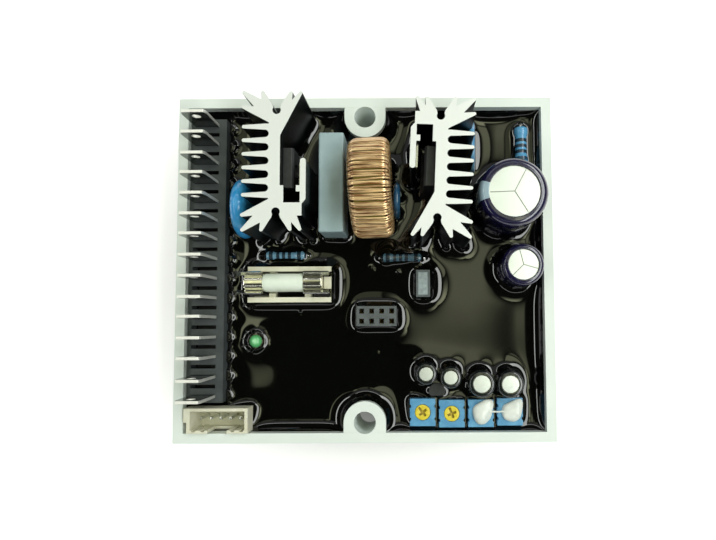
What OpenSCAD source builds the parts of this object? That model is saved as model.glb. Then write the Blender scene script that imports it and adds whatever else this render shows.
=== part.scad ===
// Automatic voltage regulator, potted in an open tray.
// X runs along the tray's long side, Y towards the far wall and Z up.
// The origin lies under the middle of the tray, on the surface that it rests on.

/* [Tray] */
// Outer length of the tray along X
tray_x = 96; // [95:0.5:110]
// Outer width of the tray along Y
tray_y = 88; // [88:0.5:100]
// Height of the tray from its base to its rim
tray_h = 16; // [14:0.25:20]
// Thickness of the side walls
wall = 2.5; // [1.5:0.1:2.7]
// Thickness of the floor
floor_t = 2.5; // [1.5:0.1:4]
// Distance between the two fixing holes
hole_spacing = 78; // [76:0.5:90]
// Least distance from a fixing hole's centre to the outside of its wall
hole_edge = 4.5; // [4:0.1:6]
// Diameter of the fixing holes
hole_d = 5.5; // [4:0.1:6.5]
// Width of the bosses round the fixing holes
boss_w = 10.6; // [9:0.1:11.5]

/* [Board and potting] */
// Height of the posts that carry the board
post_h = 3.5; // [2:0.1:5]
// Diameter of the posts that carry the board
post_d = 4; // [3:0.1:6]
// Thickness of the circuit board
board_t = 1.6; // [1:0.1:2.4]
// Gap between the board and the tray's walls
board_gap = 0.5; // [0.2:0.1:1]
// Depth of resin above the board
resin_depth = 3.6; // [3:0.1:4.4]
// Clearance between the resin and what stands in it
fit = 0.04; // [0.02:0.01:0.1]

/* [Terminals] */
// Number of push-on tabs
tab_count = 15; // [10:1:15]
// Spacing of the tabs
tab_pitch = 5; // [4.6:0.05:5.08]
// Width of a tab
tab_w = 6.3; // [4.8:0.1:6.6]
// Thickness of a tab
tab_t = 0.8; // [0.5:0.1:1]
// Height of a tab above its block
tab_h = 9.8; // [7:0.1:12]
// Diameter of the detent hole in a tab
tab_hole_d = 2; // [1.2:0.1:2.2]
// Width of the terminal block along X
block_w = 9.2; // [9:0.1:10.4]
// Height of the terminal block above the board
block_h = 7; // [6:0.1:9]
// Gap between the terminal block and the left wall
block_gap = 0.2; // [0.1:0.1:0.6]
// Gap between the terminal block and the far wall
block_far_gap = 2.4; // [1:0.1:3]

/* [Heat sinks] */
// Length of extrusion cut for a heat sink
sink_h = 22; // [18:0.5:26]
// Thickness of the wall that carries the fins
sink_wall = 2.7; // [2:0.1:3]
// Reach of the fins from the transistor's face
fin_reach = 8.5; // [6:0.1:8.8]
// Thickness of a fin at its root
fin_t = 1.5; // [0.9:0.1:1.6]
// Spacing of the fins
fin_pitch = 3.2; // [2.9:0.05:3.2]
// Gap between the transistor's face and the spring arm
arm_gap = 4.6; // [4.3:0.1:5]
// Thickness of the spring arm
arm_t = 1.4; // [1:0.1:1.8]
// Radius of the star legs' tips
leg_r = 0.44; // [0.4:0.02:0.7]
// Diameter of the slots for the solder pins
pin_slot_d = 1.9; // [1.4:0.1:2.2]
// Place of the left heat sink's transistor face
sink_left_at = [-18.4, 23.5]; // [-30:0.1:30]
// Place of the right heat sink's transistor face
sink_right_at = [17.5, 22]; // [-30:0.1:30]
// Turn of the right heat sink out of square
sink_right_turn = -2.4; // [-3:0.1:0]

/* [Power transistors] */
// Width of a transistor
package_w = 9.6; // [8:0.1:9.7]
// Height of a transistor's moulded package
package_h = 15.3; // [12:0.1:17]
// Thickness of the package's lower half
package_t = 3.3; // [2.8:0.1:3.6]
// Thickness of the package's upper half
package_tab_t = 2.5; // [1.5:0.1:2.7]
// Width of a spring clip
clip_w = 5.6; // [4:0.1:6]
// Thickness of a spring clip
clip_t = 0.45; // [0.3:0.05:0.6]

/* [Film capacitors] */
// Size of the large box capacitor along X, Y and Z
film_size = [6.2, 24.8, 14.4]; // [2:0.1:30]
// Place of the large box capacitor
film_at = [-7.8, 20.5]; // [-30:0.1:30]
// Size of the small box capacitor along X, Y and Z
box_size = [3.6, 7, 6.4]; // [2:0.1:10]
// Place of the small box capacitor
box_at = [14.8, -4]; // [-30:0.1:30]
// Radius of the box capacitors' corners
box_corner_r = 0.5; // [0.2:0.05:0.8]

/* [Choke] */
// Outer diameter of the wound choke
choke_d = 25.4; // [22:0.1:26]
// Width of the wound choke along X
choke_w = 10.2; // [8:0.1:10.4]
// Diameter of the hole left through the winding
choke_hole_d = 9.2; // [8:0.1:9.5]
// Number of turns
choke_turns = 96; // [60:1:110]
// Thickness of the winding over the core
winding_t = 1.6; // [1.2:0.1:2]
// Depth of the valleys between turns
turn_valley = 0.24; // [0.1:0.01:0.3]
// Place of the choke's middle
choke_at = [2.15, 19.1]; // [-30:0.1:30]

/* [Discs] */
// Diameters of the left and right varistors
varistor_d = [15, 13.4]; // [12:0.1:15.6]
// Thicknesses of the left and right varistors
varistor_t = [4, 1.7]; // [1.5:0.1:4.2]
// Place of the varistors along Y
varistor_y = [15, 31.2]; // [10:0.1:34]
// Gap between a varistor and what it stands beside
varistor_gap = 0.9; // [0.4:0.1:1.1]
// Diameter of the disc capacitor
disc_d = 9.4; // [6:0.1:10]
// Thickness of the disc capacitor
disc_t = 1.7; // [1.2:0.1:2.2]
// Height of the disc capacitor's middle above the board
disc_z = 9.4; // [9:0.1:11]
// Place of the disc capacitor along Y
disc_y = 16.7; // [12:0.1:22]

/* [Electrolytic capacitors] */
// Diameter of the large can
large_d = 16; // [14:0.1:16.4]
// Height of the large can
large_h = 20.3; // [16:0.1:25]
// Distance of the large can's axis from the right wall
large_from_right = 9.4; // [9:0.1:9.8]
// Place of the large can along Y
large_y = 16.5; // [15.5:0.1:17]
// Diameter of the medium can
medium_d = 10; // [8:0.1:11]
// Height of the medium can
medium_h = 13.6; // [10:0.1:16]
// Distance of the medium can's axis from the right wall
medium_from_right = 6.2; // [5.8:0.1:9]
// Place of the medium can along Y
medium_y = 0; // [-6:0.1:1]
// Diameters of the four small cans
small_d = [5, 5, 6.3, 6.3]; // [4:0.1:6.6]
// Height of the small cans
small_h = 11; // [7:0.1:12]
// Thickness of the shrink sleeves
sleeve_t = 0.2; // [0.1:0.05:0.3]

/* [Resistors] */
// Diameter of the two small resistors
resistor_d = 2.5; // [2:0.1:3]
// Length of a small resistor's body
resistor_l = 10.2; // [7:0.1:11]
// Place of the left resistor
resistor_left_at = [-21, 3.5]; // [-30:0.1:30]
// Place of the middle resistor
resistor_middle_at = [9.4, 2.85]; // [-30:0.1:30]
// Diameter of the power resistor
power_resistor_d = 3.6; // [3:0.1:4]
// Length of the power resistor's body
power_resistor_l = 10; // [8:0.1:11]
// Distance of the power resistor from the right wall
power_resistor_from_right = 4.6; // [4:0.1:6]
// Distance of the power resistor's middle from the far wall
power_resistor_from_far = 9.2; // [8.8:0.1:10]
// Diameter of a lead
lead_d = 0.7; // [0.5:0.05:0.8]

/* [Fuse] */
// Diameter of the fuse's end caps
fuse_d = 4.8; // [4.8:0.1:5.4]
// Length of the fuse
fuse_l = 20; // [19:0.1:20.5]
// Length of an end cap
fuse_cap_l = 5.2; // [4:0.1:6]
// Length of the fuse holder
holder_l = 21.4; // [21:0.1:23]
// Width of the fuse holder
holder_w = 9.2; // [9:0.1:11]
// Height of the fuse holder's side walls above the board
holder_h = 6.8; // [6:0.1:7.5]
// Thickness of the fuse holder's base
holder_base_t = 3.8; // [3.7:0.1:5]
// Thickness of the fuse holder's side walls
holder_wall = 1.3; // [1:0.1:1.8]
// Thickness of a fuse clip's sheet
fuse_clip_t = 0.4; // [0.3:0.05:0.5]
// Place of the fuse's middle
fuse_at = [-20.8, -3.7]; // [-30:0.1:30]

/* [Headers and lamp] */
// Spacing of the socket header's holes
socket_pitch = 2.54; // [2:0.01:2.54]
// Height of the socket header above the board
socket_h = 8.5; // [7:0.1:9]
// Place of the socket header
socket_at = [2.95, -12.4]; // [-30:0.1:30]
// Outer size of the plug header along X, Y and Z
plug_size = [16, 6.2, 9.6]; // [6:0.1:17]
// Wall thickness of the plug header
plug_wall = 0.8; // [0.6:0.1:1]
// Spacing of the plug header's pins
plug_pitch = 2.5; // [2:0.1:2.54]
// Number of plug header pins
plug_pins = 5; // [3:1:5]
// Gap between the plug header and the left wall
plug_left_gap = 0.6; // [0.3:0.1:1]
// Gap between the plug header and the near wall
plug_near_gap = 0.2; // [0.1:0.1:0.6]
// Diameter of the indicator lamp
lamp_d = 3; // [3:0.1:5]
// Height of the indicator lamp
lamp_h = 5.6; // [5:0.1:8]
// Place of the indicator lamp
lamp_at = [-28.6, -18.7]; // [-30:0.1:30]

/* [Trimmers] */
// Size of a trimmer along X, Y and Z
trimmer_size = [6.5, 6.9, 7]; // [5:0.1:7.5]
// Spacing of the trimmers
trimmer_pitch = 7.36; // [7.2:0.02:8]
// Distance of the last trimmer's middle from the right wall
trimmer_from_right = 8.9; // [6:0.1:9.4]
// Gap between the trimmers and the near wall
trimmer_near_gap = 1.1; // [0.6:0.1:1.2]
// Diameter of a trimmer's rotor
rotor_d = 3.8; // [3:0.1:4.2]
// Radial running clearance of a rotor
rotor_gap = 0.05; // [0.03:0.01:0.08]
// Diameter of the sealing compound on a set trimmer
sealant_d = 5; // [4.4:0.1:5.4]

/* [Hidden] */
$fn = 48;
tiny = 0.01;

// Width of the tray along Y, with room round the fixing holes and for the terminal block beside the plug
block_end = 1.6;
block_l = (tab_count - 1) * tab_pitch + 2 * block_end;
block_to_plug = 0.9;
tray_width = max(tray_y, hole_spacing + 2 * hole_edge,
                 block_l + block_far_gap + block_to_plug + plug_size[1] + plug_near_gap + 2 * wall);

// Inner faces of the tray's walls
left = -tray_x / 2 + wall;
right = tray_x / 2 - wall;
near = -tray_width / 2 + wall;
far = tray_width / 2 - wall;

// Heights of the board and of the resin's surface
board_z = floor_t + post_h;
board_top = board_z + board_t;
resin_top = board_top + resin_depth;

// Terminal block
block_x = left + block_gap + block_w / 2;
block_far = far - block_far_gap;
tab_root = 3;
tab_x = block_x - 0.5;
foot_r = 0.8;

// Heat sinks: u runs from the transistor's face to the spring arm, v along the extrusion's length
fin_count = 6;
fin_tip = 0.58 * fin_t;
slot_r = (fin_pitch - fin_t) / 2;
star_tips = [[4.66, 16], [2.4, 16], [-4.2, 16.1], [-8.55, 16.15], [-8.65, 12.7]];
star_notches = [[2.7, 14.4], [0.1, 13.3], [-1.9, 13.3], [-4.5, 14.5], [-6.25, 12.9]];
star_gaps = [[3.5, 16], [-0.9, 16], [-0.9, 16], [-6.4, 16.1], [-8.6, 14.4]];
star_root = 9;
pin_slot_at = [-0.9, 11.95];
face_end = 6;
pocket_floor = 9.8;
step_at = 5.8;
step_t = 0.85;
shoulder = [arm_gap + arm_t - 0.9, 10.1, 12.9];

// Power transistors
package_z = resin_top + 0.3;
package_v = -step_at + package_w / 2 + 0.1;
package_gap = 0.03;
clip_z = package_z + 1.6;
clip_chord = 6.6;
clip_bulge = arm_gap - package_gap - package_t - 0.05;

// Discs
disc_edge = 0.6;
varistor_lift = [1.2, 0.7];
varistor_x = [sink_left_at[0] + star_tips[4][0] - leg_r - varistor_gap - varistor_t[0] / 2 - 0.2,
              sink_right_at[0] - star_tips[4][0] + leg_r + varistor_gap + varistor_t[1] / 2 - 0.2];
disc_x = choke_at[0] + choke_w / 2 + 0.15 + disc_t / 2;

// Electrolytic capacitors
large_at = [right - large_from_right, large_y];
medium_at = [right - medium_from_right, medium_y];
sleeve_lift = 0.3;
vent_depth = 0.12;
vent_w = 0.22;

// Trimmers, and the row of small cans behind them
trimmer_y = near + trimmer_near_gap + trimmer_size[1] / 2;
trimmer_stagger = [0.2, -0.15, -0.1, 0.25];
trimmer_at = [for (i = [0:3]) [right - trimmer_from_right - (3 - i) * trimmer_pitch,
                               trimmer_y + trimmer_stagger[i]]];
small_offset = [[0.9, 10.2], [-0.4, 9.3], [-0.1, 7.7], [-0.4, 7.6]];
small_at = [for (i = [0:3]) [trimmer_at[i][0] + small_offset[i][0],
                             trimmer_y + trimmer_size[1] / 2 - 3.45 + small_offset[i][1]]];
rotor_h = 1.1;
rotor_lift = 0.02;
well_depth = 1.2;
stub_d = 1.5;
stub_h = 1.4;

// Small transistor between the trimmers and the small cans
small_transistor_r = 2.1;
small_transistor_flat = 1.2;
small_transistor_h = 4.6;
small_transistor_at = [(trimmer_at[0][0] + trimmer_at[1][0]) / 2,
                       trimmer_y + trimmer_size[1] / 2 + 0.3 + small_transistor_flat + 0.4];

// Fuse
fuse_z = board_top + holder_base_t + fuse_clip_t + 0.1 + fuse_d / 2;
fuse_tube_d = fuse_d - 0.5;
holder_at = [fuse_at[0] + 1.3, fuse_at[1] - 0.45];
clip_l = 6.4;
fuse_foot_w = 4;
clip_overhang = 1.7;

// Socket and plug headers
socket_cols = 4;
socket_rows = 2;
socket_size = [socket_cols * socket_pitch, socket_rows * socket_pitch];
plug_at = [left + plug_left_gap + plug_size[0] / 2, near + plug_near_gap + plug_size[1] / 2];
plug_floor = 2;
pin_t = 0.64;

// A rectangle with round corners about the origin
module round_rect(size, r, grow = 0) {
    half = [size[0] / 2 + grow, size[1] / 2 + grow];
    square([2 * half[0] - 2 * r, 2 * half[1]], center = true);
    square([2 * half[0], 2 * half[1] - 2 * r], center = true);
    for (sx = [-1, 1], sy = [-1, 1])
        translate([sx * (half[0] - r), sy * (half[1] - r)]) circle(r);
}

// Both fixing bosses, from their round tips back to the walls
module boss_outline(grow = 0) {
    for (side = [-1, 1]) {
        translate([0, side * hole_spacing / 2]) circle(d = boss_w + 2 * grow);
        translate([0, side * (hole_spacing + tray_width) / 4])
            square([boss_w + 2 * grow, (tray_width - hole_spacing) / 2], center = true);
    }
}

// The room between the tray's walls
module inside_outline(gap = 0) {
    difference() {
        square([2 * right - 2 * gap, 2 * far - 2 * gap], center = true);
        boss_outline(gap);
    }
}

// The posts under the board's corners
module post_circles(grow = 0) {
    for (sx = [-1, 1], sy = [-1, 1])
        translate([sx * (right - post_d), sy * (far - post_d)]) circle(d = post_d + 2 * grow);
}

module tray() {
    color([0.9, 0.93, 0.92]) {
        difference() {
            translate([-tray_x / 2, -tray_width / 2, 0]) cube([tray_x, tray_width, tray_h]);
            translate([0, 0, floor_t]) linear_extrude(tray_h) inside_outline();
            for (side = [-1, 1])
                translate([0, side * hole_spacing / 2, -1]) cylinder(d = hole_d, h = tray_h + 2);
        }
        translate([0, 0, floor_t - tiny]) linear_extrude(post_h + tiny) post_circles();
    }
}

module circuit_board() {
    color([0.1, 0.3, 0.15])
        translate([0, 0, board_z]) linear_extrude(board_t) inside_outline(board_gap);
}

// The controller that does the regulating, out of sight under the resin
chip_size = [10, 10, 1.5];
chip_at = [-8, -25];
module control_chip() {
    color([0.1, 0.1, 0.1])
        translate([chip_at[0], chip_at[1], board_top])
            linear_extrude(chip_size[2]) round_rect(chip_size, 0.6);
}

// Outlines, at the board, of everything that stands up through the resin
module standing_outlines(grow) {
    translate([block_x, block_far - block_l / 2]) block_outline(grow);
    at_sink(left_sink = true) sink_profile(grow);
    at_sink(left_sink = false) sink_profile(grow);
    at_sink(left_sink = true) package_leads(grow);
    at_sink(left_sink = false) package_leads(grow);
    translate(film_at) round_rect(film_size, box_corner_r, grow);
    translate(box_at) round_rect(box_size, box_corner_r, grow);
    translate(large_at) circle(d = large_d + 2 * sleeve_t + 2 * grow);
    translate(medium_at) circle(d = medium_d + 2 * sleeve_t + 2 * grow);
    for (i = [0:3]) {
        translate(small_at[i]) circle(d = small_d[i] + 2 * sleeve_t + 2 * grow);
        translate(trimmer_at[i]) round_rect(trimmer_size, 0.4, grow);
    }
    translate(small_transistor_at) small_transistor_outline(grow);
    translate([disc_x, disc_y]) disc_leads(disc_d, disc_t, grow);
    for (i = [0:1])
        translate([varistor_x[i], varistor_y[i]]) disc_leads(varistor_d[i], varistor_t[i], grow);
    translate(holder_at) square([holder_l + 2 * grow, holder_w + 2 * grow], center = true);
    translate(socket_at) square([socket_size[0] + 2 * grow, socket_size[1] + 2 * grow], center = true);
    translate(plug_at) plug_outline(grow);
    translate(lamp_at) circle(d = lamp_d + 0.8 + 2 * grow);
    translate(resistor_left_at) lead_circles(resistor_l, grow);
    translate(resistor_middle_at) lead_circles(resistor_l, grow);
    translate(power_resistor_at) rotate(90) lead_circles(power_resistor_l, grow);
}

module potting_resin() {
    color([0.05, 0.05, 0.05])
        difference() {
            translate([0, 0, floor_t + fit])
                linear_extrude(resin_top - floor_t - fit) inside_outline(fit);
            translate([0, 0, board_z - fit])
                linear_extrude(board_t + 2 * fit) inside_outline(board_gap - fit);
            translate([0, 0, floor_t]) linear_extrude(post_h) post_circles(fit);
            translate([chip_at[0], chip_at[1], board_top])
                linear_extrude(chip_size[2] + fit) round_rect(chip_size, 0.6, fit);
            translate([0, 0, board_top]) linear_extrude(resin_depth + 1) standing_outlines(fit);
            at_choke() cylinder(d = choke_d + 2 * fit, h = choke_w + 2 * fit, center = true);
            for (i = [0:1])
                at_disc([varistor_x[i], varistor_y[i]], varistor_z(i))
                    disc_body(varistor_d[i] + 2 * fit, varistor_t[i] + 2 * fit);
            at_resistor(resistor_left_at, resistor_d)
                cylinder(d = resistor_d + 2 * fit, h = resistor_l + 2 * fit, center = true);
            at_resistor(resistor_middle_at, resistor_d)
                cylinder(d = resistor_d + 2 * fit, h = resistor_l + 2 * fit, center = true);
            at_resistor(power_resistor_at, power_resistor_d, 90)
                cylinder(d = power_resistor_d + 2 * fit, h = power_resistor_l + 2 * fit, center = true);
        }
}

// Terminal block with a row of moulded feet along the side that faces the board
module block_outline(grow = 0) {
    square([block_w + 2 * grow, block_l + 2 * grow], center = true);
    for (i = [0 : tab_count - 1])
        translate([block_w / 2, block_l / 2 - block_end - i * tab_pitch]) circle(foot_r + grow);
}

module terminal_block() {
    slot_t = 0.95;
    slot_z = board_top + block_h - 4;
    color([0.27, 0.29, 0.3])
        difference() {
            translate([block_x, block_far - block_l / 2, board_top]) {
                linear_extrude(resin_depth + 1) block_outline();
                linear_extrude(block_h) square([block_w, block_l], center = true);
            }
            for (i = [0 : tab_count - 1]) {
                y = block_far - block_end - i * tab_pitch;
                translate([tab_x - tab_w / 2 - fit, y - tab_t / 2 - fit, board_top + tab_root - fit])
                    cube([tab_w + 2 * fit, tab_t + 2 * fit, block_h]);
                if (i < tab_count - 1)
                    translate([tab_x - tab_w / 2, y - (tab_pitch + slot_t) / 2, slot_z])
                        cube([tab_w, slot_t, block_h]);
            }
        }
}

// One push-on tab, seen along Y: chamfered tip and a detent hole
module tab_blade() {
    full_h = block_h - tab_root + tab_h;
    tip_cut = [0.45, 1.2];
    hole_below_tip = 2.7;
    rotate([90, 0, 0])
        linear_extrude(tab_t, center = true)
            difference() {
                polygon([[-tab_w / 2, 0], [tab_w / 2, 0], [tab_w / 2, full_h - tip_cut[1]],
                         [tab_w / 2 - tip_cut[0], full_h], [-tab_w / 2 + tip_cut[0], full_h],
                         [-tab_w / 2, full_h - tip_cut[1]]]);
                translate([0, full_h - hole_below_tip]) circle(d = tab_hole_d);
            }
}

module terminal_tabs() {
    color([0.8, 0.8, 0.8])
        for (i = [0 : tab_count - 1])
            translate([tab_x, block_far - block_end - i * tab_pitch, board_top + tab_root]) tab_blade();
}

// Puts children in the frame of one heat sink
module at_sink(left_sink) {
    if (left_sink)
        translate(sink_left_at) children();
    else
        translate(sink_right_at) rotate(180 + sink_right_turn) children();
}

// One leg of a star, from the notches on its two sides out to its round tip
module star_leg(a, b, tip, r) {
    along = (tip - (a + b) / 2) / norm(tip - (a + b) / 2);
    across = [-along[1], along[0]];
    side = (a - b) * across > 0 ? r : -r;
    polygon([a, tip + side * across, tip - side * across, b]);
    translate(tip) circle(r);
}

// One end of the extrusion: five legs round a slot for a solder pin
module sink_star(start, hub_start, grow) {
    notch = [for (i = [0:4]) star_notches[i] + 3 * grow * (star_gaps[i] - star_notches[i])
                                               / norm(star_gaps[i] - star_notches[i])];
    root = [-sink_wall - grow, star_root - 2 * grow];
    neck = [0.35 * pin_slot_d - grow, 0.2];
    difference() {
        union() {
            star_leg(start, notch[0], star_tips[0], leg_r + grow);
            star_leg(notch[0], notch[1], star_tips[1], leg_r + grow);
            star_leg(notch[2], notch[3], star_tips[2], leg_r + grow);
            star_leg(notch[3], notch[4], star_tips[3], leg_r + grow);
            star_leg(notch[4], root, star_tips[4], leg_r + grow);
            polygon(concat(hub_start, [start], notch, [root, [-sink_wall - grow, 5]]));
        }
        translate(pin_slot_at) circle(d = pin_slot_d - 2 * grow);
        polygon([pin_slot_at + [-neck[0], neck[1]], notch[2], notch[1], pin_slot_at + neck]);
    }
}

// Section of the heat sink's extrusion
module sink_profile(grow = 0) {
    arm_end = -0.1;
    arm_root = pocket_floor - 0.8;
    barb = [0.9, 1.5];
    fins_v = (fin_count - 1) * fin_pitch / 2;
    // Plain end, cut straight to the face that the transistor lies on
    sink_star([grow, face_end - grow], [[grow, 5]], grow);
    // End that carries the spring arm
    mirror([0, 1])
        sink_star([4 + grow, shoulder[2] + grow],
                  [[0, step_at - grow], [step_t + grow, step_at - grow],
                   [step_t + grow, pocket_floor - grow],
                   [arm_gap - grow, pocket_floor - grow], [arm_gap - grow, arm_root],
                   [arm_gap + arm_t + grow, arm_root], [shoulder[0] + grow, shoulder[1] + grow],
                   [shoulder[0] + grow, shoulder[2] + grow]], grow);
    // Wall, and the round ends of the slots between the fins
    translate([-sink_wall - grow, -star_root]) square([sink_wall + 2 * grow, 2 * star_root]);
    difference() {
        translate([-sink_wall - slot_r, -fins_v]) square([slot_r + sink_wall / 2, 2 * fins_v]);
        for (i = [0 : fin_count - 2])
            translate([-sink_wall - slot_r, (i + 0.5) * fin_pitch - fins_v]) circle(slot_r - grow);
    }
    for (i = [0 : fin_count - 1])
        translate([0, i * fin_pitch - fins_v]) {
            polygon([[-fin_reach, -fin_tip / 2 - grow], [-sink_wall - slot_r, -fin_t / 2 - grow],
                     [-sink_wall / 2, -fin_t / 2 - grow], [-sink_wall / 2, fin_t / 2 + grow],
                     [-sink_wall - slot_r, fin_t / 2 + grow], [-fin_reach, fin_tip / 2 + grow]]);
            translate([-fin_reach, 0]) circle(d = fin_tip + 2 * grow);
        }
    // Spring arm with the barb that a clip catches under
    translate([arm_gap - grow, -arm_root]) square([arm_t + 2 * grow, arm_root + arm_end]);
    translate([arm_gap + arm_t / 2, arm_end]) circle(d = arm_t + 2 * grow);
    translate([arm_gap - barb[0] - grow, -step_at - barb[1] - grow])
        square([barb[0] + arm_t / 2, barb[1] + 2 * grow]);
}

module heat_sink(left_sink) {
    color([0.93, 0.93, 0.92])
        translate([0, 0, board_top]) linear_extrude(sink_h) at_sink(left_sink) sink_profile();
}

module package_leads(grow = 0) {
    lead = [0.6, 0.9];
    lead_pitch = 2.54;
    for (i = [-1:1])
        translate([package_t / 2, package_v + i * lead_pitch])
            square([lead[0] + 2 * grow, lead[1] + 2 * grow], center = true);
}

// Fully moulded package: thick lower half, thin upper half with a fixing hole
module power_transistor(left_sink) {
    split_h = package_h * 0.58;
    hole_d = 3.2;
    bevel = 0.5;
    color([0.2, 0.2, 0.21]) {
        translate([0, 0, board_top])
            linear_extrude(package_z - board_top + tiny) at_sink(left_sink) package_leads();
        translate([0, 0, package_z])
            at_sink(left_sink)
                difference() {
                    translate([package_gap, package_v + package_w / 2, 0])
                        rotate([90, 0, 0])
                            linear_extrude(package_w)
                                polygon([[0, 0], [package_t, 0], [package_t, split_h - bevel],
                                         [package_tab_t, split_h], [package_tab_t, package_h - bevel],
                                         [package_tab_t - bevel, package_h], [0, package_h]]);
                    translate([-1, package_v, (split_h + package_h) / 2])
                        rotate([0, 90, 0]) cylinder(d = hole_d, h = package_t + 2);
                }
    }
}

// Bowed leaf that presses the transistor against the heat sink
module spring_clip(left_sink) {
    bow_r = clip_chord * clip_chord / (8 * clip_bulge) + clip_bulge / 2;
    contact = arm_gap - 0.03;
    tail_h = sink_h + board_top - clip_z - clip_chord - 1.2;
    color([0.35, 0.36, 0.38])
        translate([0, 0, clip_z])
            at_sink(left_sink)
                translate([0, -step_at + clip_w + 0.1, 0])
                    rotate([90, 0, 0])
                        linear_extrude(clip_w) {
                            intersection() {
                                translate([contact - clip_bulge + bow_r, clip_chord / 2])
                                    difference() {
                                        circle(bow_r);
                                        circle(bow_r - clip_t);
                                    }
                                translate([contact - clip_bulge, 0]) square([clip_bulge, clip_chord]);
                            }
                            translate([contact - clip_t, clip_chord - 0.6]) square([clip_t, tail_h]);
                        }
}

module box_body(size, at) {
    edge = 0.4;
    translate([at[0], at[1], board_top]) {
        linear_extrude(size[2] - edge) round_rect(size, box_corner_r);
        linear_extrude(size[2]) round_rect([size[0] - 2 * edge, size[1] - 2 * edge], box_corner_r);
    }
}

module film_capacitor() {
    color([0.5, 0.56, 0.57]) box_body(film_size, film_at);
}

module box_capacitor() {
    color([0.2, 0.21, 0.22]) box_body(box_size, box_at);
}

// Puts children on the choke's axis, which lies along X
module at_choke() {
    translate([choke_at[0], choke_at[1], board_top + choke_d / 2 + fit]) rotate([0, 90, 0]) children();
}

module choke_core() {
    core_in = winding_t + fit;
    color([0.55, 0.5, 0.3])
        at_choke()
            difference() {
                cylinder(d = choke_d - 2 * core_in, h = choke_w - 2 * core_in, center = true);
                cylinder(d = choke_hole_d + 2 * core_in, h = choke_w, center = true);
            }
}

// Points round the section of the wound ring, sunk by a depth for the valley between two turns
function ring_section(sunk) =
    let (corner = 1.6, steps = 3, outer = choke_d / 2 - sunk, inner = choke_hole_d / 2 + sunk,
         half = choke_w / 2 - sunk)
    [for (q = [0:3], s = [0:steps])
        let (angle = 90 * q + 90 * s / steps,
             middle = [(q == 0 || q == 3) ? outer - corner : inner + corner,
                       q < 2 ? half - corner : corner - half])
        middle + corner * [cos(angle), sin(angle)]];

// Wound ring as one ridged solid, with a crest for each turn and a slight slant to the turns
module choke_winding() {
    slices = 2 * choke_turns;
    sections = [for (i = [0 : slices - 1]) ring_section(i % 2 == 0 ? 0 : turn_valley)];
    count = len(sections[0]);
    slant = 0.35;
    points = [for (i = [0 : slices - 1], p = sections[i])
        let (angle = (i + slant * p[1]) * 360 / slices)
        [p[0] * cos(angle), p[0] * sin(angle), p[1]]];
    faces = [for (i = [0 : slices - 1], k = [0 : count - 1])
        let (a = i * count + k, b = i * count + (k + 1) % count,
             c = ((i + 1) % slices) * count + (k + 1) % count, d = ((i + 1) % slices) * count + k)
        each [[a, b, c], [a, c, d]]];
    color([0.8, 0.55, 0.33])
        at_choke()
            difference() {
                polyhedron(points, [for (f = faces) [f[2], f[1], f[0]]]);
                difference() {
                    cylinder(d = choke_d - 2 * winding_t, h = choke_w - 2 * winding_t, center = true);
                    cylinder(d = choke_hole_d + 2 * winding_t, h = choke_w, center = true);
                }
            }
}

// A dipped disc with a rounded rim, its axis along Z
module disc_body(d, t) {
    rotate_extrude() {
        translate([0, -t / 2]) square([d / 2 - disc_edge, t]);
        translate([0, -t / 2 + disc_edge]) square([d / 2, t - 2 * disc_edge]);
        for (side = [-1, 1])
            translate([d / 2 - disc_edge, side * (t / 2 - disc_edge)]) circle(disc_edge, $fn = 24);
    }
}

// Two leads of a disc, apart along Y
module disc_leads(d, t, grow = 0) {
    for (side = [-1, 1])
        translate([side * t / 6, side * d / 4]) circle(d = lead_d + 2 * grow);
}

// Puts children on the axis of a disc, which lies along X
module at_disc(at, z) {
    translate([at[0], at[1], z]) rotate([0, 90, 0]) children();
}

module leaded_disc(at, z, d, t) {
    at_disc(at, z) disc_body(d, t);
    translate([at[0], at[1], board_top]) linear_extrude(z - board_top) disc_leads(d, t);
}

// Height of a varistor's middle
function varistor_z(i) = board_top + varistor_lift[i] + varistor_d[i] / 2;

module varistor(i) {
    color([0.2, 0.5, 0.78])
        leaded_disc([varistor_x[i], varistor_y[i]], varistor_z(i), varistor_d[i], varistor_t[i]);
}

module disc_capacitor() {
    color([0.12, 0.25, 0.42]) leaded_disc([disc_x, disc_y], board_top + disc_z, disc_d, disc_t);
}

// Section of an electrolytic can with a rounded shoulder
module can_section(d, h, grow = 0) {
    shoulder = 0.09 * d;
    square([d / 2 + grow, h - shoulder]);
    square([d / 2 - shoulder, h + grow]);
    translate([d / 2 - shoulder, h - shoulder])
        intersection() {
            circle(shoulder + grow);
            square(d);
        }
}

// Aluminium can, with score lines for its vent and the crimp that holds its bung
module can(at, d, h, vent_turn, vents) {
    crimp_z = 0.1 * h;
    crimp_r = 0.06 * d;
    color([0.88, 0.88, 0.88])
        translate([at[0], at[1], board_top])
            difference() {
                rotate_extrude()
                    difference() {
                        can_section(d, h);
                        translate([d / 2 + crimp_r / 2, crimp_z]) circle(crimp_r, $fn = 24);
                    }
                if (vents)
                    for (i = [0:2])
                        rotate(vent_turn + 120 * i)
                            translate([0, -vent_w / 2, h - vent_depth]) cube([0.36 * d, vent_w, 1]);
            }
}

// Shrink sleeve, closed over the can's shoulder and open in the middle of its top
module sleeve(at, d, h) {
    open_r = 0.39 * d - 0.35;
    color([0.1, 0.09, 0.25])
        translate([at[0], at[1], board_top])
            rotate_extrude()
                intersection() {
                    difference() {
                        can_section(d, h, sleeve_t);
                        can_section(d, h, 0.01);
                    }
                    translate([open_r, sleeve_lift]) square([d, h + 1]);
                }
}

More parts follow.
